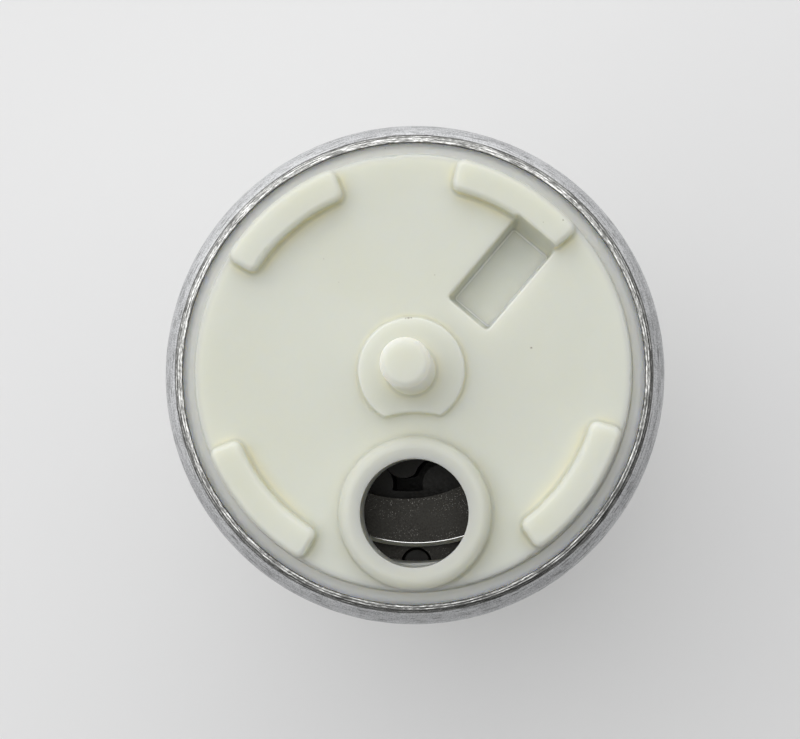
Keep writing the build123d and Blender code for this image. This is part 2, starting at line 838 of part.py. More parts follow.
with BuildPart() as magnet_clips:
    with BuildSketch(Plane.XY.offset(magnet_under + clip_margin)):
        for middle in (90, 270):
            start = middle - clip_arc / 2
            end = middle + clip_arc / 2
            add(arc_band(magnet_outer - clip_thickness, magnet_outer, start, end))
            add(arc_band(magnet_inner + clip_inset, magnet_outer, start, start + clip_leg))
            add(arc_band(magnet_inner + clip_inset, magnet_outer, end - clip_leg, end))
    extrude(amount=magnet_top - magnet_under - 2 * clip_margin)
magnet_clips.part.label = "magnet_clips"
export_step(magnet_clips.part, "parts/magnet_clips.step")

# Outlet cover: a plug inside the can, with nipple, connector shroud and valve housings outside
with BuildPart() as outlet_cover:
    with BuildSketch(Plane.XZ):
        with BuildLine():
            Polyline(
                (0, cap_inner_face), (cap_rim_bore, cap_inner_face), (cap_rim_bore, cap_rim_top),
                (cover_radius, cap_rim_top), (cover_radius, shoulder_chamfer - shoulder_height),
                (shoulder_edge, -shoulder_height), (shoulder_root, -shoulder_height - shoulder_rise),
                (face_radius, cap_face), (0, cap_face), close=True,
            )
        make_face()
    revolve(axis=Axis.Z)
    fillet(outlet_cover.edges().filter_by(GeomType.CIRCLE).group_by(Axis.Z)[0], cap_edge_round)

    # Relief valve's housing
    with BuildSketch(Plane.XY.offset(cap_face)):
        with Locations((relief_x, relief_y)):
            Circle(relief_housing)
    extrude(amount=relief_face - cap_face)
    fillet(outlet_cover.faces().sort_by(Axis.Z)[0].edges(), cap_edge_round)

    # Block below the brush wells
    with BuildSketch(Plane.XY.offset(cap_face)):
        RectangleRounded(block_length, block_width, block_round)
    extrude(amount=block_under - cap_face)
    fillet(outlet_cover.faces().sort_by(Axis.Z)[0].edges(), block_edge_round)

    # Nipple base
    with BuildSketch(Plane.XY.offset(cap_face)):
        with Locations((0, nipple_y)):
            Circle(nipple_base_radius)
    extrude(amount=nipple_base_under - cap_face)
    fillet(outlet_cover.faces().sort_by(Axis.Z)[0].edges(), cap_edge_round)

    # Barbed nipple
    with BuildSketch(Plane.XZ.offset(-nipple_y)):
        with BuildLine():
            nipple_root = nipple_base_under + run_past
            barb_points = [(0, nipple_root), (nipple_radius, nipple_root)]
            for barb in range(barb_count):
                crest = nipple_base_under - nipple_neck - barb * barb_pitch
                land_end = crest - barb_land
                barb_points += [(nipple_radius, crest), (barb_radius, crest)]
                barb_points += [(barb_radius, land_end), (nipple_radius, land_end - barb_slope)]
            barb_points += [(nipple_radius, nipple_under + nipple_chamfer)]
            barb_points += [(nipple_radius - nipple_chamfer, nipple_under), (0, nipple_under)]
            Polyline(*barb_points, close=True)
        make_face()
    revolve(axis=Axis((0, nipple_y, 0), (0, 0, 1)))
    nipple_foot = edges_between(outlet_cover, nipple_base_under, nipple_y, nipple_y + run_past)
    fillet(nipple_foot, root_round)

    # Connector shroud with its latch ramp
    with BuildSketch(Plane.XY.offset(cap_face)):
        with Locations((0, shroud_y)):
            RectangleRounded(shroud_length, shroud_width, shroud_round)
    extrude(amount=shroud_under - cap_face)
    latch_face = shroud_y - shroud_width / 2
    latch_root = latch_face + shroud_wall / 2
    latch_crest = latch_face - latch_height
    with BuildSketch(Plane.YZ.offset(-latch_width / 2)):
        with BuildLine():
            Polyline(
                (latch_root, latch_top), (latch_crest, latch_top), (latch_crest, latch_top - latch_land),
                (latch_face, latch_top - latch_length), (latch_root, latch_top - latch_length), close=True,
            )
        make_face()
    extrude(amount=latch_width)

    # Hollows
    with BuildSketch(Plane.XY.offset(socket_floor)):
        with Locations((0, shroud_y)):
            hollow_length = shroud_length - 2 * shroud_wall
            RectangleRounded(hollow_length, shroud_width - 2 * shroud_wall, shroud_inner_round)
    extrude(amount=shroud_under - socket_floor, mode=Mode.SUBTRACT)
    with BuildSketch(Plane.XY.offset(cap_inner_face)):
        with Locations((brush_x, 0), (-brush_x, 0)):
            Rectangle(brush_width + 2 * brush_gap, brush_depth + 2 * brush_gap)
    extrude(amount=well_floor - cap_inner_face, mode=Mode.SUBTRACT)
    # Round wells: centre, radius, and the heights they run from and to
    wells = (
        (choke_x, choke_y, choke_well, cap_inner_face, choke_floor),
        (-choke_x, choke_y, choke_well, cap_inner_face, choke_floor),
        (0, 0, bearing_radius + press_gap, cap_inner_face, outlet_bearing_under),
        (0, 0, shaft_radius + shaft_hole_gap, outlet_bearing_under, shaft_hole_floor),
        (0, nipple_y, valve_bore, cap_inner_face, valve_floor),
        (0, nipple_y, nipple_bore, valve_floor, nipple_under),
        (relief_x, relief_y, relief_orifice, cap_inner_face, relief_seat),
        (relief_x, relief_y, relief_bore, relief_seat, relief_face),
    )
    for x, y, radius, mouth, floor in wells:
        with BuildSketch(Plane.XY.offset(mouth)):
            with Locations((x, y)):
                Circle(radius)
        extrude(amount=floor - mouth, mode=Mode.SUBTRACT)
    with BuildSketch(Plane.XY.offset(cap_inner_face)):
        with Locations((terminal_x, shroud_y), (-terminal_x, shroud_y)):
            Rectangle(terminal_thickness, terminal_width)
    extrude(amount=socket_floor - cap_inner_face, mode=Mode.SUBTRACT)
    with BuildSketch(Plane.XY.offset(outlet_seal_height - seal_groove_width / 2)):
        Circle(can_radius)
        Circle(seal_groove_radius, mode=Mode.SUBTRACT)
    extrude(amount=seal_groove_width, mode=Mode.SUBTRACT)
    for side in (1, -1):
        with BuildSketch(jumper_plane(side)):
            add(jumper_shape(jumper_gap))
        extrude(amount=strap_width / 2 + jumper_gap, both=True, mode=Mode.SUBTRACT)
    fillet(edges_between(outlet_cover, shroud_under, 0, can_radius), shroud_rim_round)
outlet_cover.part.label = "outlet_cover"
export_step(outlet_cover.part, "parts/outlet_cover.step")

# Brushes, with their springs, leads and terminals
for name, side in (("positive", 1), ("negative", -1)):
    with BuildPart() as brush:
        with BuildSketch(Plane.XY.offset(brush_face)):
            with Locations((side * brush_x, 0)):
                Rectangle(brush_width, brush_depth)
        extrude(amount=-brush_length)
        chamfer(brush.edges().filter_by(Axis.Z), brush_edge)
        with BuildSketch(Plane.XY.offset(brush_back)):
            with Locations((side * brush_x, 0)):
                Circle(spigot_radius)
        extrude(amount=-spigot_length)
    brush.part.label = f"brush_{name}"
    export_step(brush.part, f"parts/brush_{name}.step")

    spring_foot = well_floor + jumper_lift
    spring_top = brush_back - spring_gap
    spring = coil_spring(brush_coil, brush_wire, spring_foot, spring_top, brush_turns, side * brush_x, 0)
    spring.part.label = f"brush_spring_{name}"
    export_step(spring.part, f"parts/brush_spring_{name}.step")

    with BuildPart() as lead:
        with BuildSketch(Plane.XY.offset(spring_foot)):
            with Locations((side * brush_x, 0)):
                Circle(lead_radius)
        extrude(until=Until.NEXT, target=brush.part)
    lead.part.label = f"brush_lead_{name}"
    export_step(lead.part, f"parts/brush_lead_{name}.step")

    with BuildPart() as terminal:
        with BuildSketch(Plane.XY.offset(strap_top)):
            with Locations((side * terminal_x, shroud_y)):
                Rectangle(terminal_thickness, terminal_width)
        extrude(amount=terminal_under - strap_top)
        chamfer(terminal.edges().group_by(Axis.Z)[0], terminal_chamfer)
        with BuildSketch(Plane.XY.offset(cap_inner_face)):
            with Locations((side * (terminal_x + strap_reach / 2), (shroud_y + choke_y) / 2)):
                Rectangle(strap_reach, strap_width)
        extrude(amount=strap_top - cap_inner_face)
    terminal.part.label = f"terminal_{name}"
    export_step(terminal.part, f"parts/terminal_{name}.step")

with BuildPart() as brush_jumpers:
    for side in (1, -1):
        with BuildSketch(jumper_plane(side)):
            add(jumper_shape(0))
        extrude(amount=strap_width / 2, both=True)
brush_jumpers.part.label = "brush_jumpers"
export_step(brush_jumpers.part, "parts/brush_jumpers.step")

# Chokes: ferrite rods in wound wire
with BuildPart() as choke_cores:
    with BuildSketch(Plane.XY.offset(choke_under)):
        with Locations((choke_x, choke_y), (-choke_x, choke_y)):
            Circle(choke_core_radius)
    extrude(amount=choke_top - choke_under)
choke_cores.part.label = "choke_cores"
export_step(choke_cores.part, "parts/choke_cores.step")

with BuildPart() as choke_windings:
    for side in (1, -1):
        winding = coil_spring(
            choke_coil, choke_wire, choke_under, choke_top, choke_turns, side * choke_x, choke_y
        )
        add(winding.part)
choke_windings.part.label = "choke_windings"
export_step(choke_windings.part, "parts/choke_windings.step")

# Non-return valve: seat, poppet and spring
with BuildPart() as check_seat:
    with BuildSketch(Plane.XY.offset(seat_under)):
        with Locations((0, nipple_y)):
            Circle(valve_bore - press_gap)
            Circle(seat_bore, mode=Mode.SUBTRACT)
    extrude(amount=seat_thickness)
    chamfer(check_seat.edges().group_by(Axis.Z)[-1].sort_by(SortBy.LENGTH)[0], seat_lead)
check_seat.part.label = "check_seat"
export_step(check_seat.part, "parts/check_seat.step")

poppet_top = seat_under - seat_gap
poppet_under = poppet_top - poppet_thickness
with BuildPart() as check_poppet:
    with BuildSketch(Plane.XY.offset(poppet_top)):
        with Locations((0, nipple_y)):
            Circle(poppet_head)
    extrude(amount=-poppet_thickness)
    with BuildSketch(Plane.XY.offset(poppet_top)):
        with Locations((0, nipple_y)):
            Circle(seat_bore - poppet_cone_gap)
    extrude(amount=poppet_cone, taper=poppet_cone_angle)
    with BuildSketch(Plane.XY.offset(poppet_top)):
        with Locations((0, nipple_y)):
            with PolarLocations((poppet_rib + poppet_wing) / 2, poppet_ribs):
                Rectangle(poppet_wing - poppet_rib, poppet_rib_width)
    extrude(amount=-poppet_thickness - poppet_wing_length)
    with BuildSketch(Plane.XY.offset(poppet_under)):
        with Locations((0, nipple_y)):
            Circle(poppet_stem)
    extrude(amount=-poppet_stem_length)
check_poppet.part.label = "check_poppet"
export_step(check_poppet.part, "parts/check_poppet.step")

check_spring = coil_spring(
    valve_coil, valve_wire, valve_floor + spring_gap, poppet_under - spring_gap, valve_turns, 0, nipple_y
)
check_spring.part.label = "check_spring"
export_step(check_spring.part, "parts/check_spring.step")

# Relief valve: ball, spring and the plug that holds them
ball_height = relief_seat - sqrt(relief_ball_radius ** 2 - relief_orifice ** 2) - ball_gap
with BuildPart() as relief_ball:
    with Locations((relief_x, relief_y, ball_height)):
        Sphere(relief_ball_radius)
relief_ball.part.label = "relief_ball"
export_step(relief_ball.part, "parts/relief_ball.step")

plug_top = relief_face + relief_plug_length
spring_foot = plug_top + spring_gap
wire_drop = sqrt((relief_ball_radius + relief_wire) ** 2 - relief_coil ** 2)
spring_top = ball_height - wire_drop + relief_wire - ball_gap - spring_gap
relief_spring = coil_spring(
    relief_coil, relief_wire, spring_foot, spring_top, relief_turns, relief_x, relief_y
)
relief_spring.part.label = "relief_spring"
export_step(relief_spring.part, "parts/relief_spring.step")

with BuildPart() as relief_plug:
    with BuildSketch(Plane.XY.offset(relief_face + relief_plug_recess)):
        with Locations((relief_x, relief_y)):
            Circle(relief_bore - press_gap)
            Circle(relief_plug_bore, mode=Mode.SUBTRACT)
    extrude(amount=relief_plug_length - relief_plug_recess)
relief_plug.part.label = "relief_plug"
export_step(relief_plug.part, "parts/relief_plug.step")
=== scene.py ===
import math

import bpy
from mathutils import Matrix, Vector


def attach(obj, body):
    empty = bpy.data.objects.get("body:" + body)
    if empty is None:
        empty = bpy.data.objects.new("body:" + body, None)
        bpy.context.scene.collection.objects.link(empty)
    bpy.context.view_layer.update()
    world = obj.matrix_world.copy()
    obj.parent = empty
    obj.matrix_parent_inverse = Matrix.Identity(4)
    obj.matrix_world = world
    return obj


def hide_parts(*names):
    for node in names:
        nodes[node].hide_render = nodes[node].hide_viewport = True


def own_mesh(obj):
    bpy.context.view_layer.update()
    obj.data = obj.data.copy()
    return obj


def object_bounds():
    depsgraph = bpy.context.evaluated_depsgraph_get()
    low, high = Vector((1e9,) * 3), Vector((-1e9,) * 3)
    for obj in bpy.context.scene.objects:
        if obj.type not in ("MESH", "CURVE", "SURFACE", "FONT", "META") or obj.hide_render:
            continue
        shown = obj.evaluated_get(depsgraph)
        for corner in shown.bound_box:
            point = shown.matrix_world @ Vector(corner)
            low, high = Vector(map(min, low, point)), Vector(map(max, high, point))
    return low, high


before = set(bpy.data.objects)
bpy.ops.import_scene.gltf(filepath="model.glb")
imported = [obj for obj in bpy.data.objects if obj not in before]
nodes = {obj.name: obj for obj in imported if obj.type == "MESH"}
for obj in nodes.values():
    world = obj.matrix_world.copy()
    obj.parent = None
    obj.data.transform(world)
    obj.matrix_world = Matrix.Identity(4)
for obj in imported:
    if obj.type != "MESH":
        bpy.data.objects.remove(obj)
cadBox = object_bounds()
scene = bpy.context.scene
mm = 0.001
fullTurn = 2 * math.pi
print("frame loaded:", len(nodes), "nodes")


# Node helpers, used for materials and for Geometry Nodes alike

def feed(tree, socket, value):
    # value is a number, a colour or material, or the output of another node
    if isinstance(value, bpy.types.NodeSocket):
        tree.links.new(value, socket)
    else:
        socket.default_value = value


def addNode(tree, kind, inputs=None, **settings):
    node = tree.nodes.new(kind)
    for name, value in settings.items():
        setattr(node, name, value)
    for name, value in (inputs or {}).items():
        feed(tree, node.inputs[name], value)
    return node


def combine(tree, operation, *values):
    node = addNode(tree, "ShaderNodeMath", operation=operation)
    for socket, value in zip(node.inputs, values):
        feed(tree, socket, value)
    return node.outputs[0]


def times(tree, result, *others):
    for other in others:
        result = combine(tree, "MULTIPLY", result, other)
    return result


def plus(tree, result, *others):
    for other in others:
        result = combine(tree, "ADD", result, other)
    return result


def minus(tree, first, second):
    return combine(tree, "SUBTRACT", first, second)


def divide(tree, first, second):
    return combine(tree, "DIVIDE", first, second)


def spread(tree, value, steps, smooth=False):
    # steps: the result at the start and at the end, then where the value starts and ends
    low, high, start, end = steps
    kind = "SMOOTHSTEP" if smooth else "LINEAR"
    inputs = {"Value": value, "From Min": start, "From Max": end, "To Min": low, "To Max": high}
    return addNode(tree, "ShaderNodeMapRange", inputs, interpolation_type=kind).outputs[0]


def tint(tree, factor, first, second):
    # The mix node's sockets 6 and 7 and its output 2 are the ones for colours
    node = addNode(tree, "ShaderNodeMix", data_type="RGBA")
    for index, value in ((0, factor), (6, first), (7, second)):
        feed(tree, node.inputs[index], (*value, 1) if isinstance(value, tuple) else value)
    return node.outputs[2]


def partsOf(tree, vector):
    return addNode(tree, "ShaderNodeSeparateXYZ", {"Vector": vector}).outputs


def polar(tree, radius, angle, height=0.0):
    x = times(tree, radius, combine(tree, "COSINE", angle))
    y = times(tree, radius, combine(tree, "SINE", angle))
    return addNode(tree, "ShaderNodeCombineXYZ", {"X": x, "Y": y, "Z": height}).outputs[0]


def noiseAt(tree, place, size, detail=3.0, stretch=(1, 1, 1), offset=(0, 0, 0)):
    # size is the length of one blotch in metres; stretch above 1 makes it shorter along that axis
    moved = addNode(tree, "ShaderNodeMapping", {"Vector": place, "Scale": stretch, "Location": offset})
    inputs = {"Vector": moved.outputs[0], "Scale": 1 / size, "Detail": detail}
    return addNode(tree, "ShaderNodeTexNoise", inputs).outputs[0]


def cellsAt(tree, place, size):
    inputs = {"Vector": place, "Scale": 1 / size}
    return addNode(tree, "ShaderNodeTexVoronoi", inputs).outputs["Distance"]


def distanceTo(tree, place, point):
    # point is in mm
    inputs = {0: place, 1: Vector(point) * mm}
    return addNode(tree, "ShaderNodeVectorMath", inputs, operation="DISTANCE").outputs["Value"]


def radiusOf(tree, place):
    parts = partsOf(tree, place)
    squares = plus(tree, combine(tree, "POWER", parts[0], 2.0), combine(tree, "POWER", parts[1], 2.0))
    return combine(tree, "SQRT", squares)


# On the can's bend the radius falls as the height rises, so the height counts the other way
heightShare = -0.7


def ringPlace(tree, place, along=0.04):
    # Coordinates that change fast with radius and height, and slowly round the can: no seam
    x, y, height = partsOf(tree, place)
    fast = plus(tree, radiusOf(tree, place), times(tree, height, heightShare))
    inputs = {"X": times(tree, x, along), "Y": times(tree, y, along), "Z": fast}
    return addNode(tree, "ShaderNodeCombineXYZ", inputs).outputs[0]


def bumpFrom(tree, height, depth, normal=None):
    inputs = {"Height": height, "Distance": depth, "Strength": 1.0}
    if normal is not None:
        inputs["Normal"] = normal
    return addNode(tree, "ShaderNodeBump", inputs).outputs[0]


def startMaterial(name, settings):
    material = bpy.data.materials.new(name)
    material.use_nodes = True
    tree = material.node_tree
    shader = tree.nodes["Principled BSDF"]
    for socket, value in settings.items():
        shader.inputs[socket].default_value = value
    place = tree.nodes.new("ShaderNodeTexCoord").outputs["Object"]
    return material, tree, shader, place


def wire(tree, shader, **sockets):
    labels = {"colour": "Base Color", "roughness": "Roughness", "normal": "Normal"}
    for name, value in sockets.items():
        tree.links.new(value, shader.inputs[labels[name]])


# Cream acetal of both end mouldings

acetal = {
    "settings": {
        "IOR": 1.48, "Specular IOR Level": 0.4, "Subsurface Weight": 1.0, "Subsurface Scale": 3.0 * mm,
        "Subsurface Radius": (1.0, 0.92, 0.72),
    },
    "cream": (0.63, 0.644, 0.575),
    "warm": (0.625, 0.637, 0.555),
    "creaseLightTint": (0.97, 0.91, 0.62),
    "deepCreaseLightTint": (0.80, 0.79, 0.66),
    "glow": (0.97, 0.96, 0.84),
    "stepLightTint": (0.81, 0.805, 0.72),
    "darkerCream": (0.50, 0.51, 0.475),
    "highlightTint": (0.93, 0.93, 0.91),
    "speck": (0.16, 0.13, 0.09),
    "floorRoundHighlight": (0.99, 0.975, 0.86),
    "underLipLightTint": (0.98, 0.97, 0.865),
    # Noises: length of one blotch, detail
    "flow": (9 * mm, 2.0), "gloss": (1.2 * mm, 4.0), "skin": (0.09 * mm, 3.0), "wave": (3.5 * mm, 1.0),
    "markEdge": (0.12 * mm, 2.0),
    "skinDepth": 0.0016 * mm, "waveDepth": 0.014 * mm, "markRaggedness": 0.16 * mm,
    "creaseReach": 2.0 * mm, "creaseSamples": 8, "dustCell": 2.6 * mm, "roundHighlight": 0.1,
    # Below: strength at the start and at the end, then where it starts and ends
    "roughness": (0.28, 0.4, 0.3, 0.7),
    "warmth": (0.0, 1.0, 0.38, 0.66),
    "dust": (0.35, 0.0, 0.01, 0.026),
    "creaseLight": (0.9, 0.0, 0.3, 0.9),
    # By the distance from the inlet hole's axis
    "darkNearInlet": (0.9, 0.0, 4.0 * mm, 6.0 * mm),
    "awayFromInlet": (0.35, 1.0, 7.5 * mm, 9.5 * mm),
    # By the height
    "upperHalf": (0.0, 1.0, 20 * mm, 25 * mm),
    "inletEnd": (0.0, 1.0, 31.0 * mm, 31.5 * mm),
    "underFace": (1.0, 0.0, 35.0 * mm, 35.15 * mm),
    "overBoss": (0.0, 1.0, 35.85 * mm, 36.1 * mm),
    "upToBoss": (1.0, 0.0, 35.92 * mm, 35.96 * mm),
    "overFloor": (0.0, 1.0, 32.15 * mm, 32.19 * mm),
    "nearFloor": (1.0, 0.0, 32.5 * mm, 32.7 * mm),
    # By the radius from the pump's axis
    "inPost": (1.0, 0.0, 2.1 * mm, 2.6 * mm),
    "insidePads": (1.0, 0.0, 14.0 * mm, 14.2 * mm),
    "faceRim": (0.0, 0.75, 16.2 * mm, 16.75 * mm),
    "onStep": (0.0, 1.0, 16.9 * mm, 17.1 * mm),
    "atLip": (0.0, 1.0, 17.3 * mm, 17.85 * mm),
    # By how far the surface faces up
    "postSides": (1.0, 0.0, 0.3, 0.95),
    "fromWall": (0.0, 1.0, 0.45, 0.7), "toFlat": (1.0, 0.0, 0.93, 0.985),
    "lineStart": (0.0, 1.0, 0.7, 0.78), "lineEnd": (1.0, 0.0, 0.93, 0.97),
    # The inlet hole's axis, in mm
    "inlet": (0.16, -10.7, 0.0),
    # Marks on the inlet face: place in mm, radius in mm
    "marks": [
        (-0.42, 4.0, 35.8, 0.1), (-0.22, 4.03, 35.8, 0.14), (0.0, 4.06, 35.8, 0.12),
        (9.15, 1.75, 35.18, 0.1), (11.6, 11.35, 36.78, 0.09), (1.3, -17.2, 33.6, 0.1),
    ],
    "markStrength": 0.75, "markFade": 0.08,
}


def makeAcetal():
    material, tree, shader, place = startMaterial("moulded cream acetal", acetal["settings"])
    radius = radiusOf(tree, place)
    height = partsOf(tree, place)[2]
    facing = partsOf(tree, tree.nodes.new("ShaderNodeTexCoord").outputs["Normal"])[2]

    def mask(value, name, smooth=False):
        return spread(tree, value, acetal[name], smooth)

    flow = noiseAt(tree, place, *acetal["flow"])
    base = tint(tree, mask(flow, "warmth", True), acetal["cream"], acetal["warm"])
    # The plastic round the inlet is tinted a little darker
    across = addNode(tree, "ShaderNodeVectorMath", {0: place, 1: (1, 1, 0)}, operation="MULTIPLY").outputs[0]
    fromHole = distanceTo(tree, across, acetal["inlet"])
    darkNearInlet = times(tree, mask(fromHole, "darkNearInlet", True), mask(height, "upperHalf"))
    base = tint(tree, darkNearInlet, base, acetal["darkerCream"])
    # Painted light: creases, found by ambient occlusion, are tinted a lighter, warmer colour that stands in for
    # light passing through the plastic; less so near the inlet, and a less warm tint below the face at the inlet
    # end
    reach = {"Distance": acetal["creaseReach"]}
    corners = addNode(tree, "ShaderNodeAmbientOcclusion", reach, samples=acetal["creaseSamples"])
    shade = corners.outputs["AO"]
    creaseLight = times(tree, mask(shade, "creaseLight", True), mask(fromHole, "awayFromInlet"))
    onInletEnd = mask(height, "inletEnd")
    deep = times(tree, mask(height, "underFace"), onInletEnd)
    base = tint(tree, creaseLight, base, tint(tree, deep, acetal["creaseLightTint"], acetal["deepCreaseLightTint"]))
    # Painted light: the slim post's sides are tinted lighter, standing in for light passing through it
    postLightMask = times(tree, mask(radius, "inPost"), mask(height, "overBoss"), mask(facing, "postSides"))
    base = tint(tree, postLightMask, base, acetal["glow"])
    # Painted highlight: the small rounds on the inlet face are tinted lighter, standing in for light caught on
    # them
    onRound = times(tree, mask(facing, "fromWall"), mask(facing, "toFlat"))
    inside = times(tree, mask(radius, "insidePads"), mask(height, "upToBoss"))
    roundHighlight = times(tree, onInletEnd, acetal["roundHighlight"])
    base = tint(tree, times(tree, onRound, inside, roundHighlight), base, acetal["highlightTint"])
    # Painted highlight: the round along the pocket's floor is tinted as a thin light line
    foot = times(tree, mask(height, "overFloor"), mask(height, "nearFloor"))
    line = times(tree, mask(facing, "lineStart"), mask(facing, "lineEnd"))
    base = tint(tree, times(tree, foot, line, inside), base, acetal["floorRoundHighlight"])
    # Painted shade: the face is tinted darker towards its rim, toning down the light on its round edge. Painted
    # light: the step round it is tinted lighter than the face
    base = tint(tree, times(tree, mask(radius, "faceRim", True), onInletEnd), base, acetal["darkerCream"])
    base = tint(tree, mask(radius, "onStep", True), base, acetal["stepLightTint"])
    # Painted light: near the lip the step is tinted lighter still, against the shade under the lip
    base = tint(tree, mask(radius, "atLip"), base, acetal["underLipLightTint"])
    # Dust and a few larger marks
    dust = mask(cellsAt(tree, place, acetal["dustCell"]), "dust")
    base = tint(tree, dust, base, acetal["speck"])
    for x, y, z, size in acetal["marks"]:
        ragged = times(tree, noiseAt(tree, place, *acetal["markEdge"]), acetal["markRaggedness"])
        away = plus(tree, distanceTo(tree, place, (x, y, z)), ragged)
        steps = (acetal["markStrength"], 0.0, size * mm, (size + acetal["markFade"]) * mm)
        base = tint(tree, spread(tree, away, steps), base, acetal["speck"])
    roughness = mask(noiseAt(tree, place, *acetal["gloss"]), "roughness")
    skin = bumpFrom(tree, noiseAt(tree, place, *acetal["skin"]), acetal["skinDepth"])
    wave = bumpFrom(tree, noiseAt(tree, place, *acetal["wave"]), acetal["waveDepth"], skin)
    wire(tree, shader, colour=base, roughness=roughness, normal=wave)
    return material


# Zinc-plated steel of the can

zinc = {
    "metallic": 0.55,
    "light": (0.71, 0.715, 0.725),
    "dark": (0.34, 0.345, 0.355),
    "scratch": (0.22, 0.22, 0.22),
    "glint": (0.97, 0.97, 0.96),
    "shadePaint": (0.045, 0.045, 0.035),
    # Noises: length of one blotch, detail, then stretch and offset where they have any
    "rolled": (0.11 * mm, 4.0), "drawn": (0.2 * mm, 3.0, (1, 1, 0.02)),
    "grain": (0.11 * mm, 3.0), "cloud": (3.5 * mm, 4.0),
    "nicked": (0.13 * mm, 5.0, (1, 1, 1), (0.1, 0.2, 0.3)),
    "scuffed": (0.9 * mm, 6.0, (1, 1, 0.12), (0.3, 0.1, 0.7)),
    "nickedAlong": 0.1,
    "grainShare": 0.5, "cloudShare": 0.15,
    "nickStrength": 0.75, "scuffStrength": 0.5, "shadePaintStrength": 0.9,
    "lineDepth": 0.01 * mm, "grainDepth": 0.006 * mm,
    # Below: value at the start and at the end, then where it starts and ends
    "bend": (0.0, 1.0, 32.0 * mm, 32.9 * mm),
    "linesShare": (0.26, 0.35, 0.0, 1.0), "wallLift": (0.045, 0.0, 0.0, 1.0),
    "plating": (0.0, 1.0, 0.36, 0.56), "roughness": (0.42, 0.6, 0.36, 0.6),
    "nick": (0.0, 1.0, 0.57, 0.64), "scuff": (0.0, 1.0, 0.66, 0.7),
}


def markOf(tree, label):
    return addNode(tree, "ShaderNodeAttribute", attribute_name=label).outputs["Fac"]


def makeZinc():
    material, tree, shader, place = startMaterial("zinc-plated steel", {"Metallic": zinc["metallic"]})
    fromMiddle = combine(tree, "ABSOLUTE", partsOf(tree, place)[2])
    onBend = spread(tree, fromMiddle, zinc["bend"], True)
    # Rolling lines round the bend, drawing lines down the wall, and a fine grain over both
    rolled = noiseAt(tree, ringPlace(tree, place), *zinc["rolled"])
    drawn = noiseAt(tree, place, *zinc["drawn"])
    lines = tint(tree, onBend, drawn, rolled)
    grain = noiseAt(tree, place, *zinc["grain"])
    cloud = noiseAt(tree, place, *zinc["cloud"])
    mottle = plus(tree, times(tree, grain, zinc["grainShare"]), times(tree, cloud, zinc["cloudShare"]))
    linesShare = spread(tree, onBend, zinc["linesShare"])
    streak = plus(tree, mottle, times(tree, lines, linesShare), spread(tree, onBend, zinc["wallLift"]))
    colour = tint(tree, spread(tree, streak, zinc["plating"]), zinc["dark"], zinc["light"])
    roughness = spread(tree, streak, zinc["roughness"])
    # Short dark scratches run round the bend, long light ones down the wall
    nicked = noiseAt(tree, ringPlace(tree, place, zinc["nickedAlong"]), *zinc["nicked"])
    nick = times(tree, spread(tree, nicked, zinc["nick"]), onBend, zinc["nickStrength"])
    colour = tint(tree, nick, colour, zinc["scratch"])
    scuffed = noiseAt(tree, place, *zinc["scuffed"])
    onWall = minus(tree, 1.0, onBend)
    scuff = times(tree, spread(tree, scuffed, zinc["scuff"]), onWall, zinc["scuffStrength"])
    colour = tint(tree, scuff, colour, zinc["glint"])
    # Painted shade: the corner that the shear rolled over, the grooves of the cut edge and the wall's inside are
    # tinted near black where the dark mark is set
    shadePainted = times(tree, markOf(tree, "dark"), zinc["shadePaintStrength"])
    colour = tint(tree, shadePainted, colour, zinc["shadePaint"])
    deep = bumpFrom(tree, lines, zinc["lineDepth"])
    fine = bumpFrom(tree, grain, zinc["grainDepth"], deep)
    wire(tree, shader, colour=colour, roughness=roughness, normal=fine)
    return material


# Broken steel along the lip's cut edge: bright grains drawn out along the edge, painted shade in its grooves

cutEdge = {
    "dark": (0.15, 0.15, 0.145),
    "light": (0.92, 0.92, 0.90),
    # Noises as above, and how fast each changes round the can
    "dashes": (0.09 * mm, 3.0), "dashesAlong": 0.06, "dashesShare": 0.6,
    "glints": (0.08 * mm, 2.0, (1, 1, 1), (0.2, 0.4, 0.1)), "glintsAlong": 0.25, "glintsShare": 0.4,
    "broken": (0.0, 1.0, 0.44, 0.66), "shadePainted": (0.75, 1.0, 0.4, 0.6), "roughness": (0.4, 0.24, 0.35, 0.65),
    "depth": 0.01 * mm,
}


def makeShearedEdge():
    material, tree, shader, place = startMaterial("sheared steel edge", {"Metallic": 1.0})
    dashes = noiseAt(tree, ringPlace(tree, place, cutEdge["dashesAlong"]), *cutEdge["dashes"])
    glints = noiseAt(tree, ringPlace(tree, place, cutEdge["glintsAlong"]), *cutEdge["glints"])
    mixed = plus(tree, times(tree, dashes, cutEdge["dashesShare"]), times(tree, glints, cutEdge["glintsShare"]))
    colour = tint(tree, spread(tree, mixed, cutEdge["broken"]), cutEdge["dark"], cutEdge["light"])
    # Painted shade in the grooves, where the dark mark is set
    shadePainted = times(tree, markOf(tree, "dark"), spread(tree, dashes, cutEdge["shadePainted"]))
    colour = tint(tree, shadePainted, colour, zinc["shadePaint"])
    roughness = spread(tree, glints, cutEdge["roughness"])
    wire(tree, shader, colour=colour, roughness=roughness, normal=bumpFrom(tree, mixed, cutEdge["depth"]))
    return material
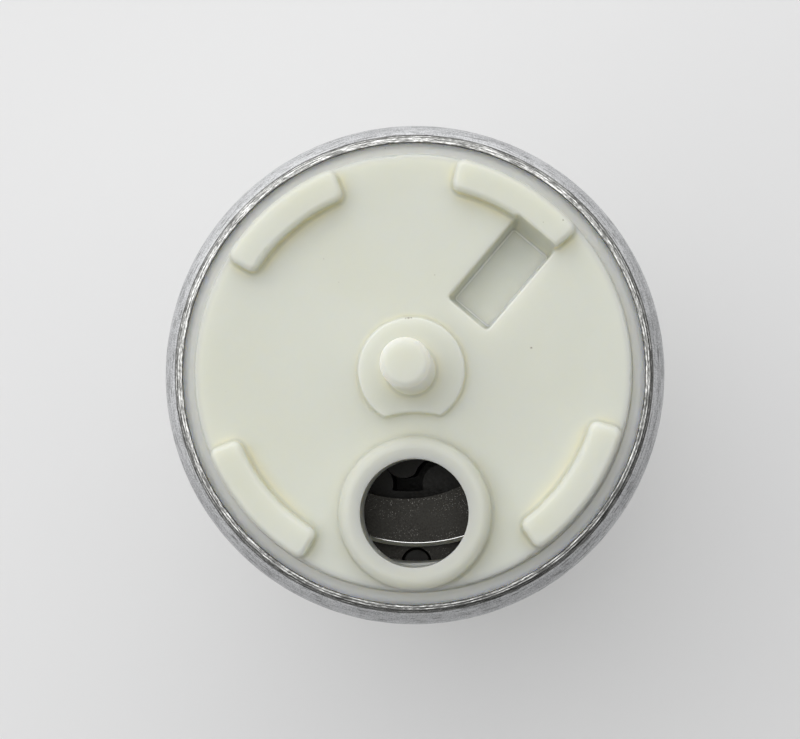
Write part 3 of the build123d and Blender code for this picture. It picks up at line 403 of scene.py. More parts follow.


# Plain recipes: two colours, metal or not, roughness range, grain size and bump depth in mm. Some have more:
# lines from turning, pores or stacked layers of a size in mm, a clear coat, bright grains painted as glints, a
# bright edge

recipes = {
    # Painted shade: near-black colours, standing in for the shade inside the pump
    "sintered_steel": {
        "colours": ((0.02, 0.019, 0.017), (0.06, 0.058, 0.053)), "metallic": 1.0, "roughness": (0.35, 0.6),
        "grain": 0.16, "bump": 0.004, "sparkle": (0.36, 0.35, 0.33), "edge": (13.26, 13.64, 28.34),
    },
    # Painted shade: steel inside the pump is kept near black, standing in for the shade inside it
    "shade_painted_steel": {
        "colours": ((0.006, 0.006, 0.005), (0.02, 0.019, 0.017)), "metallic": 0.6, "roughness": (0.35, 0.55),
        "grain": 0.2, "bump": 0.002,
    },
    "hard_steel": {
        "colours": ((0.50, 0.50, 0.51), (0.72, 0.72, 0.73)), "metallic": 1.0, "roughness": (0.12, 0.3),
        "grain": 0.12, "bump": 0.0015, "rings": True,
    },
    "body_alloy": {
        "colours": ((0.46, 0.46, 0.47), (0.68, 0.68, 0.69)), "metallic": 1.0, "roughness": (0.35, 0.55),
        "grain": 0.35, "bump": 0.01, "rings": True,
    },
    "seal_rubber": {
        "colours": ((0.018, 0.018, 0.02), (0.045, 0.045, 0.045)), "metallic": 0.0, "roughness": (0.45, 0.7),
        "grain": 0.3, "bump": 0.004,
    },
    "coupling_plastic": {
        "colours": ((0.03, 0.03, 0.033), (0.075, 0.075, 0.08)), "metallic": 0.0, "roughness": (0.4, 0.6),
        "grain": 0.5, "bump": 0.004, "sparkle": (0.3, 0.3, 0.3),
    },
    "bearing_bronze": {
        "colours": ((0.34, 0.21, 0.09), (0.66, 0.46, 0.24)), "metallic": 1.0, "roughness": (0.3, 0.5),
        "grain": 0.2, "bump": 0.004, "pores": 0.22,
    },
    "lamination_steel": {
        "colours": ((0.24, 0.24, 0.26), (0.48, 0.48, 0.5)), "metallic": 1.0, "roughness": (0.3, 0.5),
        "grain": 0.4, "bump": 0.003, "layers": 0.5,
    },
    "winding_copper": {
        "colours": ((0.36, 0.12, 0.04), (0.72, 0.33, 0.14)), "metallic": 0.85, "roughness": (0.25, 0.4),
        "grain": 0.6, "bump": 0.003, "coat": 0.5,
    },
    "segment_carbon": {
        "colours": ((0.02, 0.02, 0.02), (0.07, 0.07, 0.07)), "metallic": 0.0, "roughness": (0.4, 0.6),
        "grain": 0.14, "bump": 0.004, "sparkle": (0.4, 0.4, 0.4),
    },
    "magnet_ferrite": {
        "colours": ((0.05, 0.05, 0.055), (0.12, 0.12, 0.13)), "metallic": 0.2, "roughness": (0.4, 0.65),
        "grain": 0.25, "bump": 0.004, "pores": 0.5,
    },
    "spring_steel": {
        "colours": ((0.38, 0.38, 0.4), (0.7, 0.7, 0.72)), "metallic": 1.0, "roughness": (0.18, 0.34),
        "grain": 0.3, "bump": 0.002,
    },
    "terminal_brass": {
        "colours": ((0.55, 0.52, 0.46), (0.80, 0.78, 0.73)), "metallic": 1.0, "roughness": (0.2, 0.38),
        "grain": 0.5, "bump": 0.003,
    },
    "valve_rubber": {
        "colours": ((0.05, 0.055, 0.06), (0.11, 0.115, 0.12)), "metallic": 0.0, "roughness": (0.5, 0.7),
        "grain": 0.4, "bump": 0.004,
    },
}
# What the plain finishes share
common = {
    "grainDetail": 4.0, "cloudTimes": 14, "grainShare": 0.6, "cloudShare": 0.4, "mixedRange": (0.36, 0.64),
    "mixedShare": 0.45, "turnedShare": 0.55,
    "pit": (1.0, 0.0, 0.12, 0.3), "pitStrength": 0.7, "pitColour": (0.02, 0.02, 0.02),
    "edgeColour": (0.97, 0.97, 0.96), "edgePolish": 0.7,
    "chipCell": 0.13 * mm, "glint": (1.0, 0.0, 0.08, 0.24),
    "patches": (1.8 * mm, 2.0), "patch": (0.0, 1.0, 0.38, 0.6),
    "gap": (0.0, 1.0, 0.86, 0.94), "gapStrength": 0.6, "gapColour": (0.05, 0.05, 0.05), "gapDepth": 3.0,
}


def makeFinish(name, recipe):
    settings = {"Metallic": recipe["metallic"], "Coat Weight": recipe.get("coat", 0.0)}
    material, tree, shader, place = startMaterial(name.replace("_", " "), settings)
    grain = noiseAt(tree, place, recipe["grain"] * mm, common["grainDetail"])
    cloud = noiseAt(tree, place, common["cloudTimes"] * recipe["grain"] * mm)
    mixed = plus(tree, times(tree, grain, common["grainShare"]), times(tree, cloud, common["cloudShare"]))
    if recipe.get("rings"):
        turned = times(tree, noiseAt(tree, ringPlace(tree, place), recipe["grain"] * mm), common["turnedShare"])
        mixed = plus(tree, times(tree, mixed, common["mixedShare"]), turned)
    colour = tint(tree, spread(tree, mixed, (0.0, 1.0, *common["mixedRange"])), *recipe["colours"])
    roughness = spread(tree, mixed, (*recipe["roughness"], *common["mixedRange"]))
    relief = mixed
    if "pores" in recipe:
        pit = spread(tree, cellsAt(tree, place, recipe["pores"] * mm), common["pit"])
        colour = tint(tree, times(tree, pit, common["pitStrength"]), colour, common["pitColour"])
        relief = minus(tree, relief, pit)
    if "edge" in recipe:
        # The plate's chamfered edge is ground bright: from one radius to the other, above a height, in mm
        inner, outer, under = [size * mm for size in recipe["edge"]]
        radius = radiusOf(tree, place)
        between = times(tree, combine(tree, "GREATER_THAN", radius, inner),
                        combine(tree, "LESS_THAN", radius, outer))
        band = times(tree, between, combine(tree, "GREATER_THAN", partsOf(tree, place)[2], under))
        colour = tint(tree, band, colour, common["edgeColour"])
        roughness = times(tree, roughness, minus(tree, 1.0, times(tree, band, common["edgePolish"])))
    # Painted glints: small cells tinted light, in patches
    if "sparkle" in recipe:
        glint = spread(tree, cellsAt(tree, place, common["chipCell"]), common["glint"])
        patch = spread(tree, noiseAt(tree, place, *common["patches"]), common["patch"])
        colour = tint(tree, times(tree, glint, patch), colour, recipe["sparkle"])
    if "layers" in recipe:
        level = times(tree, partsOf(tree, place)[2], 1 / (recipe["layers"] * mm))
        gap = spread(tree, combine(tree, "FRACT", level), common["gap"])
        colour = tint(tree, times(tree, gap, common["gapStrength"]), colour, common["gapColour"])
        relief = minus(tree, relief, times(tree, gap, common["gapDepth"]))
    wire(tree, shader, colour=colour, roughness=roughness, normal=bumpFrom(tree, relief, recipe["bump"] * mm))
    return material


finishes = {name: makeFinish(name, recipe) for name, recipe in recipes.items()}
finishes["cover_acetal"] = makeAcetal()
finishes["can_zinc"] = makeZinc()
shearedEdge = makeShearedEdge()
# Painted shade: the parts inside the pump get the near-black steel
shadePaintedParts = ("gerotor_outer", "gerotor_inner", "gerotor_ring", "dowel_pins", "pump_body")

slotOf = {name: piece.data.materials[0].name.split(".")[0] for name, piece in nodes.items()}
for name, piece in nodes.items():
    piece.data.materials.clear()
    piece.data.materials.append(finishes["shade_painted_steel" if name in shadePaintedParts else slotOf[name]])
print("finishes:", len(finishes), "slots dressed")


# Geometry Nodes: one tree each for the rolled can, coils, twisted leads and the armature's winding

def newTree(name, sizes):
    tree = bpy.data.node_groups.new(name, "GeometryNodeTree")
    tree.interface.new_socket(name="Geometry", in_out="OUTPUT", socket_type="NodeSocketGeometry")
    tree.interface.new_socket(name="Geometry", in_out="INPUT", socket_type="NodeSocketGeometry")
    for label, kind in sizes.items():
        tree.interface.new_socket(name=label, in_out="INPUT", socket_type="NodeSocket" + kind)
    return tree, {socket.name: socket for socket in tree.nodes.new("NodeGroupInput").outputs}


def closeTree(tree, geometry, material, selection=None, second=None):
    # The second material, if any, goes on the selection
    smooth = addNode(tree, "GeometryNodeSetShadeSmooth", {"Geometry": geometry}).outputs[0]
    real = addNode(tree, "GeometryNodeRealizeInstances", {"Geometry": smooth}).outputs[0]
    dressed = addNode(tree, "GeometryNodeSetMaterial", {"Geometry": real, "Material": material}).outputs[0]
    if second is not None:
        inputs = {"Geometry": dressed, "Selection": selection, "Material": second}
        dressed = addNode(tree, "GeometryNodeSetMaterial", inputs).outputs[0]
    tree.links.new(dressed, tree.nodes.new("NodeGroupOutput").inputs[0])


def growPiece(name, tree, values, mesh, body, replaced):
    # Runs the tree on the start mesh, keeps the result as a plain mesh, then hands it to the frame
    piece = bpy.data.objects.new(name, mesh)
    scene.collection.objects.link(piece)
    grower = piece.modifiers.new(tree.name, "NODES")
    grower.node_group = tree
    for item in tree.interface.items_tree:
        if item.in_out == "INPUT" and item.name in values:
            grower[item.identifier] = values[item.name]
    ready = piece.evaluated_get(bpy.context.evaluated_depsgraph_get())
    grown = bpy.data.meshes.new_from_object(ready)
    piece.modifiers.clear()
    for index in reversed(range(len(grown.materials))):
        if grown.materials[index] is None:
            grown.materials.pop(index=index)
    piece.data = grown
    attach(piece, body)
    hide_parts(replaced)
    print(name, "grown:", len(grown.polygons), "faces")
    return piece


def startMesh(name, points):
    mesh = bpy.data.meshes.new(name)
    mesh.from_pydata([Vector(point) * mm for point in points], [], [])
    return mesh


def tubeAlong(tree, curve, sides, radius, caps=True):
    inputs = {"Resolution": sides, "Radius": radius}
    section = addNode(tree, "GeometryNodeCurvePrimitiveCircle", inputs).outputs[0]
    inputs = {"Curve": curve, "Profile Curve": section, "Fill Caps": caps}
    return addNode(tree, "GeometryNodeCurveToMesh", inputs).outputs[0]


def alongCurve(tree):
    return addNode(tree, "GeometryNodeSplineParameter").outputs["Factor"]


def orderOf(tree, item, groupSize):
    # Which group an item is in, and its place in the group; the half keeps whole numbers from rounding down
    group = combine(tree, "FLOOR", divide(tree, plus(tree, item, 0.5), groupSize))
    return group, minus(tree, item, times(tree, group, groupSize))


# Can: its wall's outline is spun round the axis, then the sheared edges are torn and the bends worn

can = {
    "radius": 19.49, "wall": 0.8, "halfLength": 34.0, "bend": 1.42, "turn": 64.0, "land": 0.7, "innerLand": 0.25,
    "bendSteps": 10, "wallSteps": 3, "sides": 1040, "innerShadePaint": 0.6,
    # The pressed end face from the bend inwards: radius, depth below the can's end, how torn, how much painted
    # shade
    "endFace": [
        (18.6, 0.255, 0.0, 0.0), (18.57, 0.238, 0.0, 0.2), (18.55, 0.242, 0.15, 0.9), (18.53, 0.22, 0.3, 0.3),
        (18.46, 0.15, 0.4, 0.0), (18.41, 0.115, 0.8, 0.0), (18.375, 0.12, 0.7, 0.8), (18.34, 0.085, 0.8, 0.0),
        (18.28, 0.06, 0.8, 0.0), (18.21, 0.035, 0.8, 0.0), (18.165, 0.045, 0.7, 0.6), (18.13, 0.02, 0.8, 0.0),
        (18.06, 0.005, 0.8, 0.0), (17.99, 0.0, 0.7, 0.2), (17.945, 0.008, 0.5, 0.5), (17.92, 0.03, 0.4, 0.9),
        (17.905, 0.09, 0.3, 1.0), (17.9, 0.3, 0.3, 0.6), (17.99, 0.64, 0.0, 0.3),
    ],
    # Sizes in mm; the steps say how far a noise pushes in or out, and cutFrom which marks count as cut
    "tear": 0.012, "tearSize": 0.1, "tearAlong": 0.4, "tearDetail": 3.0, "tearSteps": (-1.0, 0.15, 0.35, 0.65),
    "wave": 0.012, "waveSize": 1.5, "waveDetail": 2.0, "waveSteps": (-1.0, 0.0, 0.3, 0.7),
    "seed": 4.0, "seamGap": 1e-6, "cutFrom": 0.1,
}


def canOutline():
    # Half of the wall's section as points with a torn mark and a painted-shade mark, then its mirror image
    turn = math.radians(can["turn"])
    start = can["halfLength"] - can["bend"] * math.sin(turn) - can["land"] * math.cos(turn)
    centre = Vector((can["radius"] - can["bend"], start))
    ahead = Vector((-math.sin(turn), math.cos(turn)))
    angles = [turn * step / can["bendSteps"] for step in range(can["bendSteps"] + 1)]
    ways = [Vector((math.cos(angle), math.sin(angle))) for angle in angles]
    wall = [start * step / can["wallSteps"] for step in range(can["wallSteps"])]
    outer = [Vector((can["radius"], height)) for height in wall]
    outer += [centre + way * can["bend"] for way in ways]
    inner = [Vector((can["radius"] - can["wall"], height)) for height in wall]
    inner += [centre + way * (can["bend"] - can["wall"]) for way in ways]
    inner.append(inner[-1] + ahead * can["innerLand"])
    top = [(point, 0.0, 0.0) for point in outer]
    for radius, depth, torn, shadePaint in can["endFace"]:
        top.append((Vector((radius, can["halfLength"] - depth)), torn, shadePaint))
    top += [(point, 0.0, can["innerShadePaint"]) for point in reversed(inner)]
    under = [(Vector((point.x, -point.y)), torn, shadePaint) for point, torn, shadePaint in reversed(top) if point.y > 0]
    return top + under


def sampleAt(tree, geometry, value, index, kind):
    inputs = {"Geometry": geometry, "Value": value, "Index": index}
    return addNode(tree, "GeometryNodeSampleIndex", inputs, data_type=kind).outputs[0]


def namedMark(tree, label):
    return addNode(tree, "GeometryNodeInputNamedAttribute", {"Name": label}, data_type="FLOAT").outputs[0]


def seededNoise(tree, place, size, seed, detail):
    inputs = {"Vector": place, "W": seed, "Detail": detail, "Scale": divide(tree, 1.0, size)}
    return addNode(tree, "ShaderNodeTexNoise", inputs, noise_dimensions="4D").outputs[0]


def makeCan():
    tree, size = newTree("rolled can", {
        "Sides": "Int", "Points": "Int", "Tear": "Float", "Tear Size": "Float", "Wave": "Float",
        "Wave Size": "Float", "Seed": "Float", "Steel": "Material", "Cut Edge": "Material",
    })
    # A grid with one column for each step round the can and one row for each outline point
    rows = plus(tree, size["Points"], 1.0)
    counts = {"Vertices X": plus(tree, size["Sides"], 1.0), "Vertices Y": rows}
    grid = addNode(tree, "GeometryNodeMeshGrid", counts).outputs["Mesh"]
    index = addNode(tree, "GeometryNodeInputIndex").outputs[0]
    column, row = orderOf(tree, index, rows)
    # The last row lies on the first one again; the small addition keeps a whole number from rounding down
    wrapped = combine(tree, "MODULO", plus(tree, row, 0.01), size["Points"])
    which = combine(tree, "FLOOR", wrapped)
    angle = times(tree, divide(tree, column, size["Sides"]), fullTurn)
    place = addNode(tree, "GeometryNodeInputPosition").outputs[0]
    parts = partsOf(tree, sampleAt(tree, size["Geometry"], place, which, "FLOAT_VECTOR"))
    spun = polar(tree, parts[0], angle, parts[1])
    for label in ("cut", "dark"):
        mark = sampleAt(tree, size["Geometry"], namedMark(tree, label), which, "FLOAT")
        inputs = {"Geometry": grid, "Name": label, "Value": mark}
        stored = addNode(tree, "GeometryNodeStoreNamedAttribute", inputs, data_type="FLOAT", domain="POINT")
        grid = stored.outputs[0]
    shaped = addNode(tree, "GeometryNodeSetPosition", {"Geometry": grid, "Position": spun}).outputs[0]
    inputs = {"Geometry": shaped, "Distance": can["seamGap"]}
    merged = addNode(tree, "GeometryNodeMergeByDistance", inputs).outputs[0]
    # Torn grains on the cut edge
    cut = namedMark(tree, "cut")
    ring = ringPlace(tree, place, can["tearAlong"])
    torn = seededNoise(tree, ring, size["Tear Size"], size["Seed"], can["tearDetail"])
    depth = times(tree, spread(tree, torn, can["tearSteps"]), cut, size["Tear"])
    # Slow waves that the rolling leaves in the wall
    slow = seededNoise(tree, place, size["Wave Size"], size["Seed"], can["waveDetail"])
    dip = times(tree, spread(tree, slow, can["waveSteps"]), minus(tree, 1.0, cut), size["Wave"])
    normal = addNode(tree, "GeometryNodeInputNormal").outputs[0]
    inputs = {0: normal, "Scale": plus(tree, depth, dip)}
    push = addNode(tree, "ShaderNodeVectorMath", inputs, operation="SCALE").outputs[0]
    worn = addNode(tree, "GeometryNodeSetPosition", {"Geometry": merged, "Offset": push}).outputs[0]
    onCut = combine(tree, "GREATER_THAN", cut, can["cutFrom"])
    closeTree(tree, worn, size["Steel"], onCut, size["Cut Edge"])
    outline = canOutline()
    values = {
        "Sides": can["sides"], "Points": len(outline), "Seed": can["seed"],
        "Tear": can["tear"] * mm, "Tear Size": can["tearSize"] * mm,
        "Wave": can["wave"] * mm, "Wave Size": can["waveSize"] * mm,
        "Steel": finishes["can_zinc"], "Cut Edge": shearedEdge,
    }
    points, tornMarks, shadeMarks = zip(*outline)
    mesh = startMesh("can outline", [(point.x, point.y, 0) for point in points])
    for label, marks in (("cut", tornMarks), ("dark", shadeMarks)):
        layer = mesh.attributes.new(label, "FLOAT", "POINT")
        layer.data.foreach_set("value", marks)
    growPiece("rolled_can", tree, values, mesh, "housing", "can")


# Coils: the springs and the chokes' wire, with closed end turns. Sizes in mm, turns in whole turns

brushSpring = {"radius": 1.75, "wire": 0.2, "ends": (-37.1, -32.09), "turns": 5.0}
coils = {
    "brush_spring_positive": {"at": [(7.25, 0)], **brushSpring},
    "brush_spring_negative": {"at": [(-7.25, 0)], **brushSpring},
    "check_spring": {"at": [(0, 10.6)], "radius": 2.9, "wire": 0.22, "ends": (-38.97, -28.58), "turns": 6.0},
    "relief_spring": {"at": [(-10.2, 7.1)], "radius": 1.4, "wire": 0.25, "ends": (-35.45, -30.63), "turns": 4.0},
    "choke_windings": {
        "at": [(9.7, -9.1), (-9.7, -9.1)], "radius": 2.1, "wire": 0.35, "ends": (-34.0, -25.1), "turns": 9.5,
        "closed": 0.5, "finish": "winding_copper",
    },
}
coilDefaults = {"closed": 1.0, "finish": "spring_steel", "stepsPerTurn": 40, "wireSides": 12}
closedPitch = 2.05  # what one closed turn climbs, in wire radii
# How each spring or lead would give: its joint, and the share of its length that is left at the joint's limit.
# Only the names are read here, to give each its own mesh
squeezed = {
    "brush_spring_positive": ("positive_brush_slide", 0.60),
    "brush_spring_negative": ("negative_brush_slide", 0.60),
    "brush_lead_positive": ("positive_brush_slide", 0.495),
    "brush_lead_negative": ("negative_brush_slide", 0.495),
    "check_spring": ("non_return_valve_lift", 0.76),
    "relief_spring": ("relief_valve_lift", 0.75),
}


def squeeze(piece, name):
    if name in squeezed:
        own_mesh(piece)


def makeCoils():
    tree, size = newTree("wound coil", {
        "Radius": "Float", "Wire": "Float", "Bottom": "Float", "Top": "Float", "Turns": "Float",
        "Closed Turns": "Float", "Steps": "Int", "Wire Sides": "Int", "Metal": "Material",
    })
    line = addNode(tree, "GeometryNodeCurvePrimitiveLine").outputs[0]
    points = addNode(tree, "GeometryNodeResampleCurve", {"Curve": line, "Count": size["Steps"]}).outputs[0]
    everyTurn = plus(tree, size["Turns"], times(tree, size["Closed Turns"], 2.0))
    turned = times(tree, alongCurve(tree), everyTurn)
    angle = times(tree, turned, fullTurn)
    # The closed turns lie wire on wire, and the open ones share the rest of the height
    step = times(tree, size["Wire"], closedPitch)
    low = times(tree, combine(tree, "MINIMUM", turned, size["Closed Turns"]), step)
    lastOpen = plus(tree, size["Turns"], size["Closed Turns"])
    high = times(tree, combine(tree, "MAXIMUM", minus(tree, turned, lastOpen), 0.0), step)
    closedHeight = plus(tree, times(tree, size["Wire"], 2.0), times(tree, size["Closed Turns"], 2.0, step))
    openHeight = minus(tree, minus(tree, size["Top"], size["Bottom"]), closedHeight)
    share = spread(tree, turned, (0.0, openHeight, size["Closed Turns"], lastOpen))
    foot = plus(tree, size["Bottom"], size["Wire"])
    height = plus(tree, plus(tree, low, high), plus(tree, share, foot))
    place = polar(tree, size["Radius"], angle, height)
    coil = addNode(tree, "GeometryNodeSetPosition", {"Geometry": points, "Position": place}).outputs[0]
    tube = tubeAlong(tree, coil, size["Wire Sides"], size["Wire"])
    inputs = {"Points": size["Geometry"], "Instance": tube}
    closeTree(tree, addNode(tree, "GeometryNodeInstanceOnPoints", inputs).outputs[0], size["Metal"])
    for name, setup in coils.items():
        setup = {**coilDefaults, **setup}
        bottom, top = setup["ends"]
        allTurns = setup["turns"] + 2 * setup["closed"]
        values = {
            "Radius": setup["radius"] * mm, "Wire": setup["wire"] * mm, "Bottom": bottom * mm, "Top": top * mm,
            "Turns": setup["turns"], "Closed Turns": setup["closed"],
            "Steps": int(allTurns * setup["stepsPerTurn"]), "Wire Sides": setup["wireSides"],
            "Metal": finishes[setup["finish"]],
        }
        mesh = startMesh(name + " places", [(x, y, 0) for x, y in setup["at"]])
        piece = growPiece(name + "_coil", tree, values, mesh, "housing", name)
        squeeze(piece, name)


# Brush leads: strands of fine copper wire twisted round a straight one. Sizes in mm

lead = {
    "places": {"brush_lead_positive": 7.25, "brush_lead_negative": -7.25}, "ends": (-37.02, -33.04),
    "outerStrands": 6, "strand": 0.115, "lay": 0.27, "twists": 2.5, "steps": 48, "wireSides": 8,
}


def makeLeads():
    tree, size = newTree("twisted lead", {
        "Strands": "Int", "Strand": "Float", "Lay": "Float", "Bottom": "Float", "Top": "Float", "Twists": "Float",
        "Steps": "Int", "Metal": "Material",
    })
    start = addNode(tree, "ShaderNodeCombineXYZ", {"Z": size["Bottom"]}).outputs[0]
    end = addNode(tree, "ShaderNodeCombineXYZ", {"Z": size["Top"]}).outputs[0]
    line = addNode(tree, "GeometryNodeCurvePrimitiveLine", {"Start": start, "End": end}).outputs[0]
    points = addNode(tree, "GeometryNodeResampleCurve", {"Curve": line, "Count": size["Steps"]}).outputs[0]
    angle = times(tree, alongCurve(tree), size["Twists"], fullTurn)
    aside = polar(tree, size["Lay"], angle)
    strand = addNode(tree, "GeometryNodeSetPosition", {"Geometry": points, "Offset": aside}).outputs[0]
    tube = tubeAlong(tree, strand, lead["wireSides"], size["Strand"])
    core = tubeAlong(tree, points, lead["wireSides"], size["Strand"])
    # One point for each outer strand, each turned a little further
    starts = addNode(tree, "GeometryNodeMeshLine", {"Count": size["Strands"], "Offset": (0, 0, 0)}).outputs[0]
    order = addNode(tree, "GeometryNodeInputIndex").outputs[0]
    turn = times(tree, divide(tree, order, size["Strands"]), fullTurn)
    spin = addNode(tree, "ShaderNodeCombineXYZ", {"Z": turn}).outputs[0]
    inputs = {"Points": starts, "Instance": tube, "Rotation": spin}
    strands = addNode(tree, "GeometryNodeInstanceOnPoints", inputs).outputs[0]
    cord = tree.nodes.new("GeometryNodeJoinGeometry")
    tree.links.new(strands, cord.inputs[0])
    tree.links.new(core, cord.inputs[0])
    inputs = {"Points": size["Geometry"], "Instance": cord.outputs[0]}
    closeTree(tree, addNode(tree, "GeometryNodeInstanceOnPoints", inputs).outputs[0], size["Metal"])
    bottom, top = lead["ends"]
    for name, x in lead["places"].items():
        values = {
            "Strands": lead["outerStrands"], "Strand": lead["strand"] * mm, "Lay": lead["lay"] * mm,
            "Bottom": bottom * mm, "Top": top * mm, "Twists": lead["twists"], "Steps": lead["steps"],
            "Metal": finishes["winding_copper"],
        }
        mesh = startMesh(name + " place", [(x, 0, 0)])
        piece = growPiece(name + "_strands", tree, values, mesh, "housing", name)
        squeeze(piece, name)


# Armature winding: each coil goes up one slot and down the third one on, its turns laid side by side

winding = {
    # Angles in degrees, sizes in mm
    "coils": 8, "firstSlot": 22.5, "span": 135.0, "inner": 7.3, "outer": 9.65, "dip": 1.7, "wire": 0.135,
    "pitch": 0.28, "across": 7, "layers": 3, "slotSpread": 1.7, "top": 6.5, "bottom": -15.5, "climb": 2.5,
    "steps": 76, "wireSides": 6, "startRadius": 10.0,
    # Where along one turn each move starts and ends: 0 and 1 are halfway up the first slot
    "upFirst": (0.0, 0.13), "upLast": (0.87, 1.0), "down": (0.37, 0.63),
    "overAcross": (0.13, 0.37), "backAcross": (0.63, 0.87),
    "topStart": (0.10, 0.15), "topEnd": (0.35, 0.40), "belowStart": (0.60, 0.65), "belowEnd": (0.85, 0.90),
}


def makeWinding():
    tree, size = newTree("armature winding", {
        "Coils": "Int", "First Slot": "Float", "Slot Spread": "Float", "Span": "Float", "Inner": "Float",
        "Outer": "Float", "Dip": "Float", "Wire": "Float", "Pitch": "Float", "Across": "Int", "Layers": "Int",
        "Top": "Float", "Bottom": "Float", "Climb": "Float", "Steps": "Int", "Wire Sides": "Int",
        "Metal": "Material",
    })
    # Every turn starts as a circle, whose points are laid anew below
    inputs = {"Resolution": size["Steps"], "Radius": winding["startRadius"] * mm}
    circle = addNode(tree, "GeometryNodeCurvePrimitiveCircle", inputs).outputs[0]
    perCoil = times(tree, size["Across"], size["Layers"])
    inputs = {"Geometry": circle, "Amount": times(tree, perCoil, size["Coils"])}
    copies = addNode(tree, "GeometryNodeDuplicateElements", inputs, domain="SPLINE")
    coil, inCoil = orderOf(tree, copies.outputs["Duplicate Index"], perCoil)
    layer, column = orderOf(tree, inCoil, size["Across"])
    middle = times(tree, minus(tree, size["Across"], 1.0), 0.5)
    aside = times(tree, minus(tree, column, middle), size["Pitch"])
    stacked = times(tree, layer, size["Pitch"])
    # Along one turn: up the first slot, across the top, down the second slot, back below
    along = alongCurve(tree)

    def ramp(name, smooth=True):
        return spread(tree, along, (0.0, 1.0, *winding[name]), smooth)

    across = minus(tree, ramp("overAcross"), ramp("backAcross"))
    overTop = minus(tree, ramp("topStart"), ramp("topEnd"))
    below = minus(tree, ramp("belowStart"), ramp("belowEnd"))
    up = plus(tree, ramp("upFirst", False), ramp("upLast", False))
    level = minus(tree, up, times(tree, ramp("down", False), 2.0))
    reach = times(tree, minus(tree, size["Top"], size["Bottom"]), 0.5)
    centre = times(tree, plus(tree, size["Top"], size["Bottom"]), 0.5)
    tall = plus(tree, reach, stacked)
    climb = times(tree, across, size["Climb"], minus(tree, overTop, below))
    height = plus(tree, times(tree, level, tall), centre, climb)
    base = plus(tree, size["Inner"], times(tree, minus(tree, size["Outer"], size["Inner"]), across))
    dipped = times(tree, across, minus(tree, 1.0, across), 4.0, size["Dip"])
    radius = plus(tree, minus(tree, base, dipped), aside)
    # The layers lie side by side in the slots, spread evenly about the slot's middle
    middleLayer = times(tree, minus(tree, size["Layers"], 1.0), 0.5)
    slotPitch = times(tree, size["Pitch"], size["Slot Spread"])
    sideways = divide(tree, times(tree, minus(tree, layer, middleLayer), slotPitch), radius)
    wide = plus(tree, times(tree, size["Span"], 0.5), sideways)
    swing = minus(tree, times(tree, across, 2.0), 1.0)
    spun = times(tree, divide(tree, coil, size["Coils"]), fullTurn)
    angle = plus(tree, times(tree, swing, wide), plus(tree, spun, size["First Slot"]))
    inputs = {"Geometry": copies.outputs["Geometry"], "Position": polar(tree, radius, angle, height)}
    laid = addNode(tree, "GeometryNodeSetPosition", inputs).outputs[0]
    closeTree(tree, tubeAlong(tree, laid, size["Wire Sides"], size["Wire"], False), size["Metal"])
    values = {
        "Coils": winding["coils"], "First Slot": math.radians(winding["firstSlot"]),
        "Span": math.radians(winding["span"]), "Slot Spread": winding["slotSpread"],
        "Inner": winding["inner"] * mm, "Outer": winding["outer"] * mm, "Dip": winding["dip"] * mm,
        "Wire": winding["wire"] * mm,
        "Across": winding["across"], "Layers": winding["layers"], "Pitch": winding["pitch"] * mm,
        "Top": winding["top"] * mm, "Bottom": winding["bottom"] * mm, "Climb": winding["climb"] * mm,
        "Steps": winding["steps"], "Wire Sides": winding["wireSides"], "Metal": finishes["winding_copper"],
    }
    mesh = startMesh("winding start", [(0, 0, 0)])
    growPiece("armature_winding_wires", tree, values, mesh, "armature", "armature_windings")


makeCan()
makeCoils()
makeLeads()
makeWinding()


# Floor, light and camera

stage = {
    "floorSize": 12.0, "floor": (0.80, 0.80, 0.80), "floorShade": (0.77, 0.77, 0.775), "roughness": 0.85,
    "paper": (60 * mm, 3.0),
}


def makeFloor():
    half = stage["floorSize"] / 2
    level = cadBox[0].z
    mesh = bpy.data.meshes.new("floor")
    corners = [(-half, -half, level), (half, -half, level), (half, half, level), (-half, half, level)]
    mesh.from_pydata(corners, [], [(0, 1, 2, 3)])
    floor = bpy.data.objects.new("floor", mesh)
    scene.collection.objects.link(floor)
    material, tree, shader, place = startMaterial("pale floor", {"Roughness": stage["roughness"]})
    paper = noiseAt(tree, place, *stage["paper"])
    wire(tree, shader, colour=tint(tree, paper, stage["floor"], stage["floorShade"]))
    # From below the floor is clear, so that the underside can be looked at
    behind = tree.nodes.new("ShaderNodeNewGeometry").outputs["Backfacing"]
    tree.links.new(minus(tree, 1.0, behind), shader.inputs["Alpha"])
    mesh.materials.append(material)


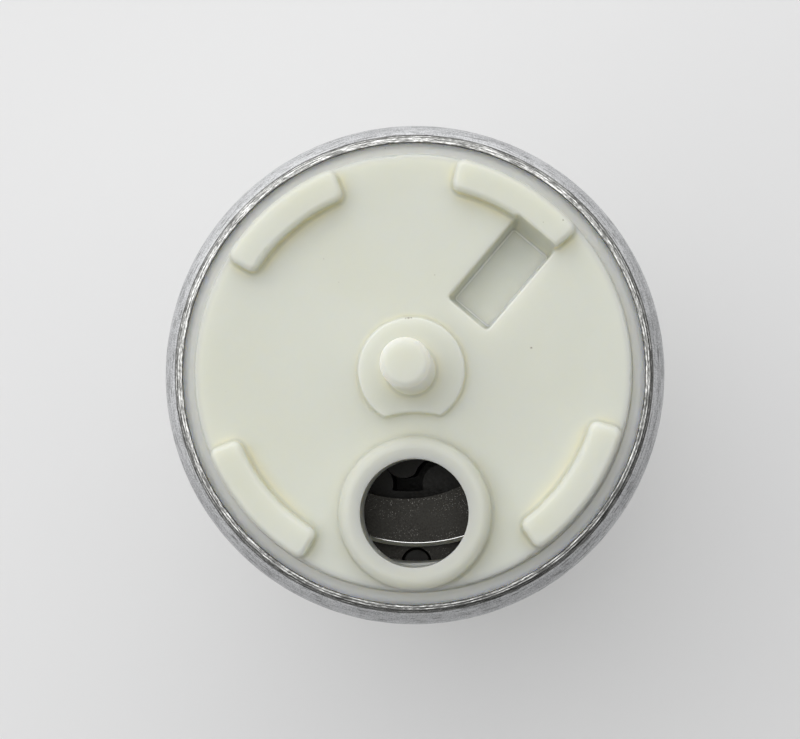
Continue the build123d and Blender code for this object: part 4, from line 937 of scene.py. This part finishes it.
softbox = {"place": (-0.087, 0.185, 0.485), "size": 0.932, "power": 2.98}
# The room is bright on the softbox's side and dim towards the camera's lower edge, and darker low down
room = {"towards": (-0.374, 0.675, 0.636), "glow": (0.1, 1.08, 0.0, 1.0), "rise": (0.45, 1.0, 0.15, 0.6)}


def makeLights():
    data = bpy.data.lights.new("softbox", "AREA")
    data.shape = "SQUARE"
    data.size = softbox["size"]
    data.energy = softbox["power"]
    lamp = bpy.data.objects.new("softbox", data)
    lamp.location = softbox["place"]
    lamp.rotation_euler = Vector(softbox["place"]).to_track_quat("Z", "Y").to_euler()
    scene.collection.objects.link(lamp)
    world = bpy.data.worlds.new("studio room")
    world.use_nodes = True
    tree = world.node_tree
    direction = tree.nodes.new("ShaderNodeTexCoord").outputs["Generated"]
    inputs = {0: direction, 1: room["towards"]}
    facing = addNode(tree, "ShaderNodeVectorMath", inputs, operation="DOT_PRODUCT").outputs["Value"]
    rise = partsOf(tree, direction)[2]
    glow = times(tree, spread(tree, facing, room["glow"]), spread(tree, rise, room["rise"], True))
    background = tree.nodes["Background"]
    background.inputs["Color"].default_value = (1.0, 1.0, 1.0, 1.0)
    tree.links.new(glow, background.inputs["Strength"])
    scene.world = world
    scene.view_settings.view_transform = "Standard"


# Where the photograph was taken from: just over the cover, a little to the right and below its middle, in mm
camera = {
    "from": (7.34, -9.43, 183.28), "towards": (-1.0, 0.24, 33.28), "lens": 87.2, "sensor": 36.0, "nearest": 10.0,
}


def makeCamera():
    data = bpy.data.cameras.new("camera")
    data.lens = camera["lens"]
    data.sensor_width = camera["sensor"]
    data.clip_start = camera["nearest"] * mm
    seen = bpy.data.objects.new("camera", data)
    place = Vector(camera["from"]) * mm
    back = (place - Vector(camera["towards"]) * mm).normalized()
    right = Vector((0, 1, 0)).cross(back).normalized()
    turned = Matrix((right, back.cross(right), back)).transposed()
    seen.matrix_world = Matrix.Translation(place) @ turned.to_4x4()
    scene.collection.objects.link(seen)
    scene.camera = seen


makeFloor()
makeLights()
makeCamera()
print("floor, lights and camera set")
